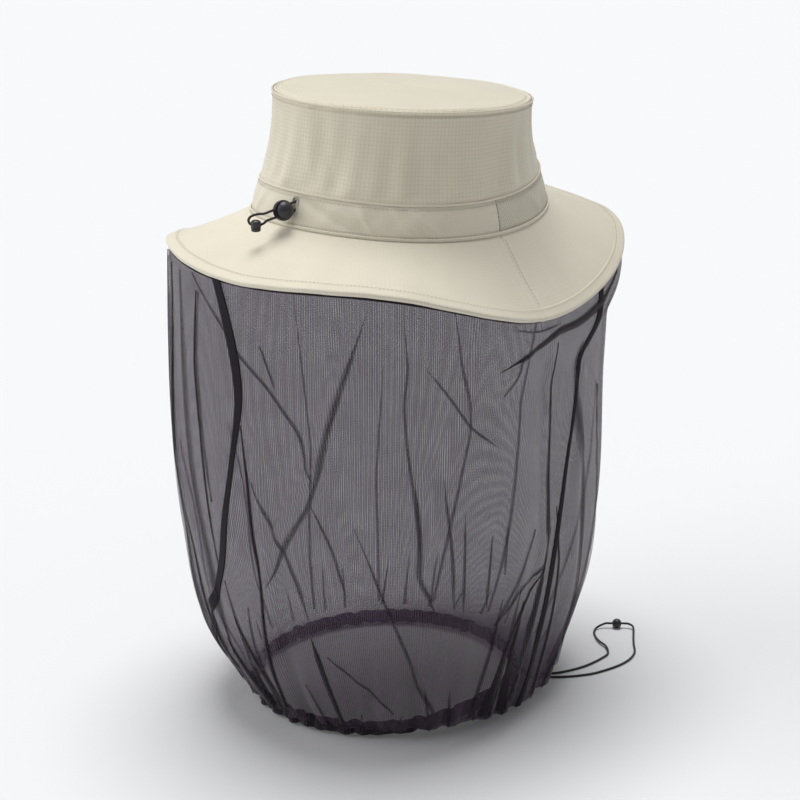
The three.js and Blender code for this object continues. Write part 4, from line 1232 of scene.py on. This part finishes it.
# ---- Stage ----
def stage():
    reach = 9000
    corners = [[-reach, -reach, FLOOR], [reach, -reach, FLOOR], [reach, reach, FLOOR], [-reach, reach, FLOOR]]
    floor = build("floor", corners, [[0, 1, 2, 3]])
    s = Shader("pale_floor")
    floor.data.materials.append(s.principled(colour=rgba(0.748, 0.753, 0.763), roughness=0.9, specular=0.0))
    world = bpy.data.worlds.new("studio")
    world.use_nodes = True
    world.node_tree.nodes["Background"].inputs[0].default_value = rgba(0.97, 0.985, 1.0)
    world.node_tree.nodes["Background"].inputs[1].default_value = 0.27
    bpy.context.scene.world = world
    add_light("overhead", (0.14, -0.12, 1.0), 34, 2.55)
    add_light("left_fill", (0.75, 1.0, 0.58), 60, 1.45)
    view = bpy.context.scene.view_settings
    view.view_transform = "Standard"
    view.look = "None"
    bpy.context.scene.cycles.transparent_max_bounces = 24


def add_light(name, towards, angle, strength):
    """A broad soft light that falls evenly everywhere, coming from the direction given."""
    data = bpy.data.lights.new(name, "SUN")
    data.angle = math.radians(angle)
    data.energy = strength
    light = bpy.data.objects.new(name, data)
    light.rotation_euler = (-Vector(towards)).to_track_quat("-Z", "Y").to_euler()
    bpy.context.collection.objects.link(light)


# ---- Build ----
add_camera()

band_cord, band_line, band_length = cord_piece("band_cord", band_cord_points(), 10)
finish(band_cord, "cord", "hat", "band_cord_loop")
hem_cord, hem_cord_line, hem_length = cord_piece("hem_cord", hem_cord_points(), 8)
finish(hem_cord, "cord", "hem", "hem_cord_loop")
end_pieces = cord_end()
ball_piece = hem_ball()

hat_crown()
hat_band()
hat_sweatband()
hat_brim()
hat_stitching()
inner_band_cord()
cord_lock()
eyelet_point, eyelet_normal, eyelet_side = eyelet_frame()
eyelet("band_eyelet_thread", 5.9, 2.5, 1.2, eyelet_point + eyelet_normal * 0.8, eyelet_normal, eyelet_side,
       "shell", "hat", "band_eyelet", "thread")

back_tape = seam_tape("seam_tape_back", "veil_seam_tape_back", [
    (0, 88), (0.07, 92), (0.15, 95), (0.23, 96), (0.30, 94), (0.38, 92), (0.57, 85), (0.76, 71), (0.93, 56)], 7.0, 0.5)
side_tape = seam_tape("seam_tape_side", "veil_seam_tape_side", [
    (0, 211), (0.13, 209), (0.27, 207), (0.36, 202), (0.48, 198), (0.60, 194), (0.75, 190), (0.93, 186)], 6.0, 0.3)
# pleats and broad folds: real extra layers of net, in darker net copies whose colour is painted shade
pleats = net_pleats("net_pleats", PLEATS + further_pleats(), "net_painted_shade_fold", ((0.4, 1.15), (0.8, 0.7), (1.2, 0.35)))
broad_folds = net_pleats("net_broad_folds", BROAD_FOLDS, "net_painted_shade_gathered", ((0.5, 1.1), (1.0, 0.7)))
net_panel("net_rear", NET_SEAMS[0], NET_SEAMS[1], 340, "veil_net_rear")
net_panel("net_front", NET_SEAMS[1], NET_SEAMS[0] + 2 * np.pi, 560, "veil_net_front")
top_tape()
hem_band()
eyelet("hem_eyelet_thread", 4.1, 2.5, 1.3, *hem_eyelet_frame(3.2), "tape", "hem", "hem_eyelet", "black_thread")

stage()
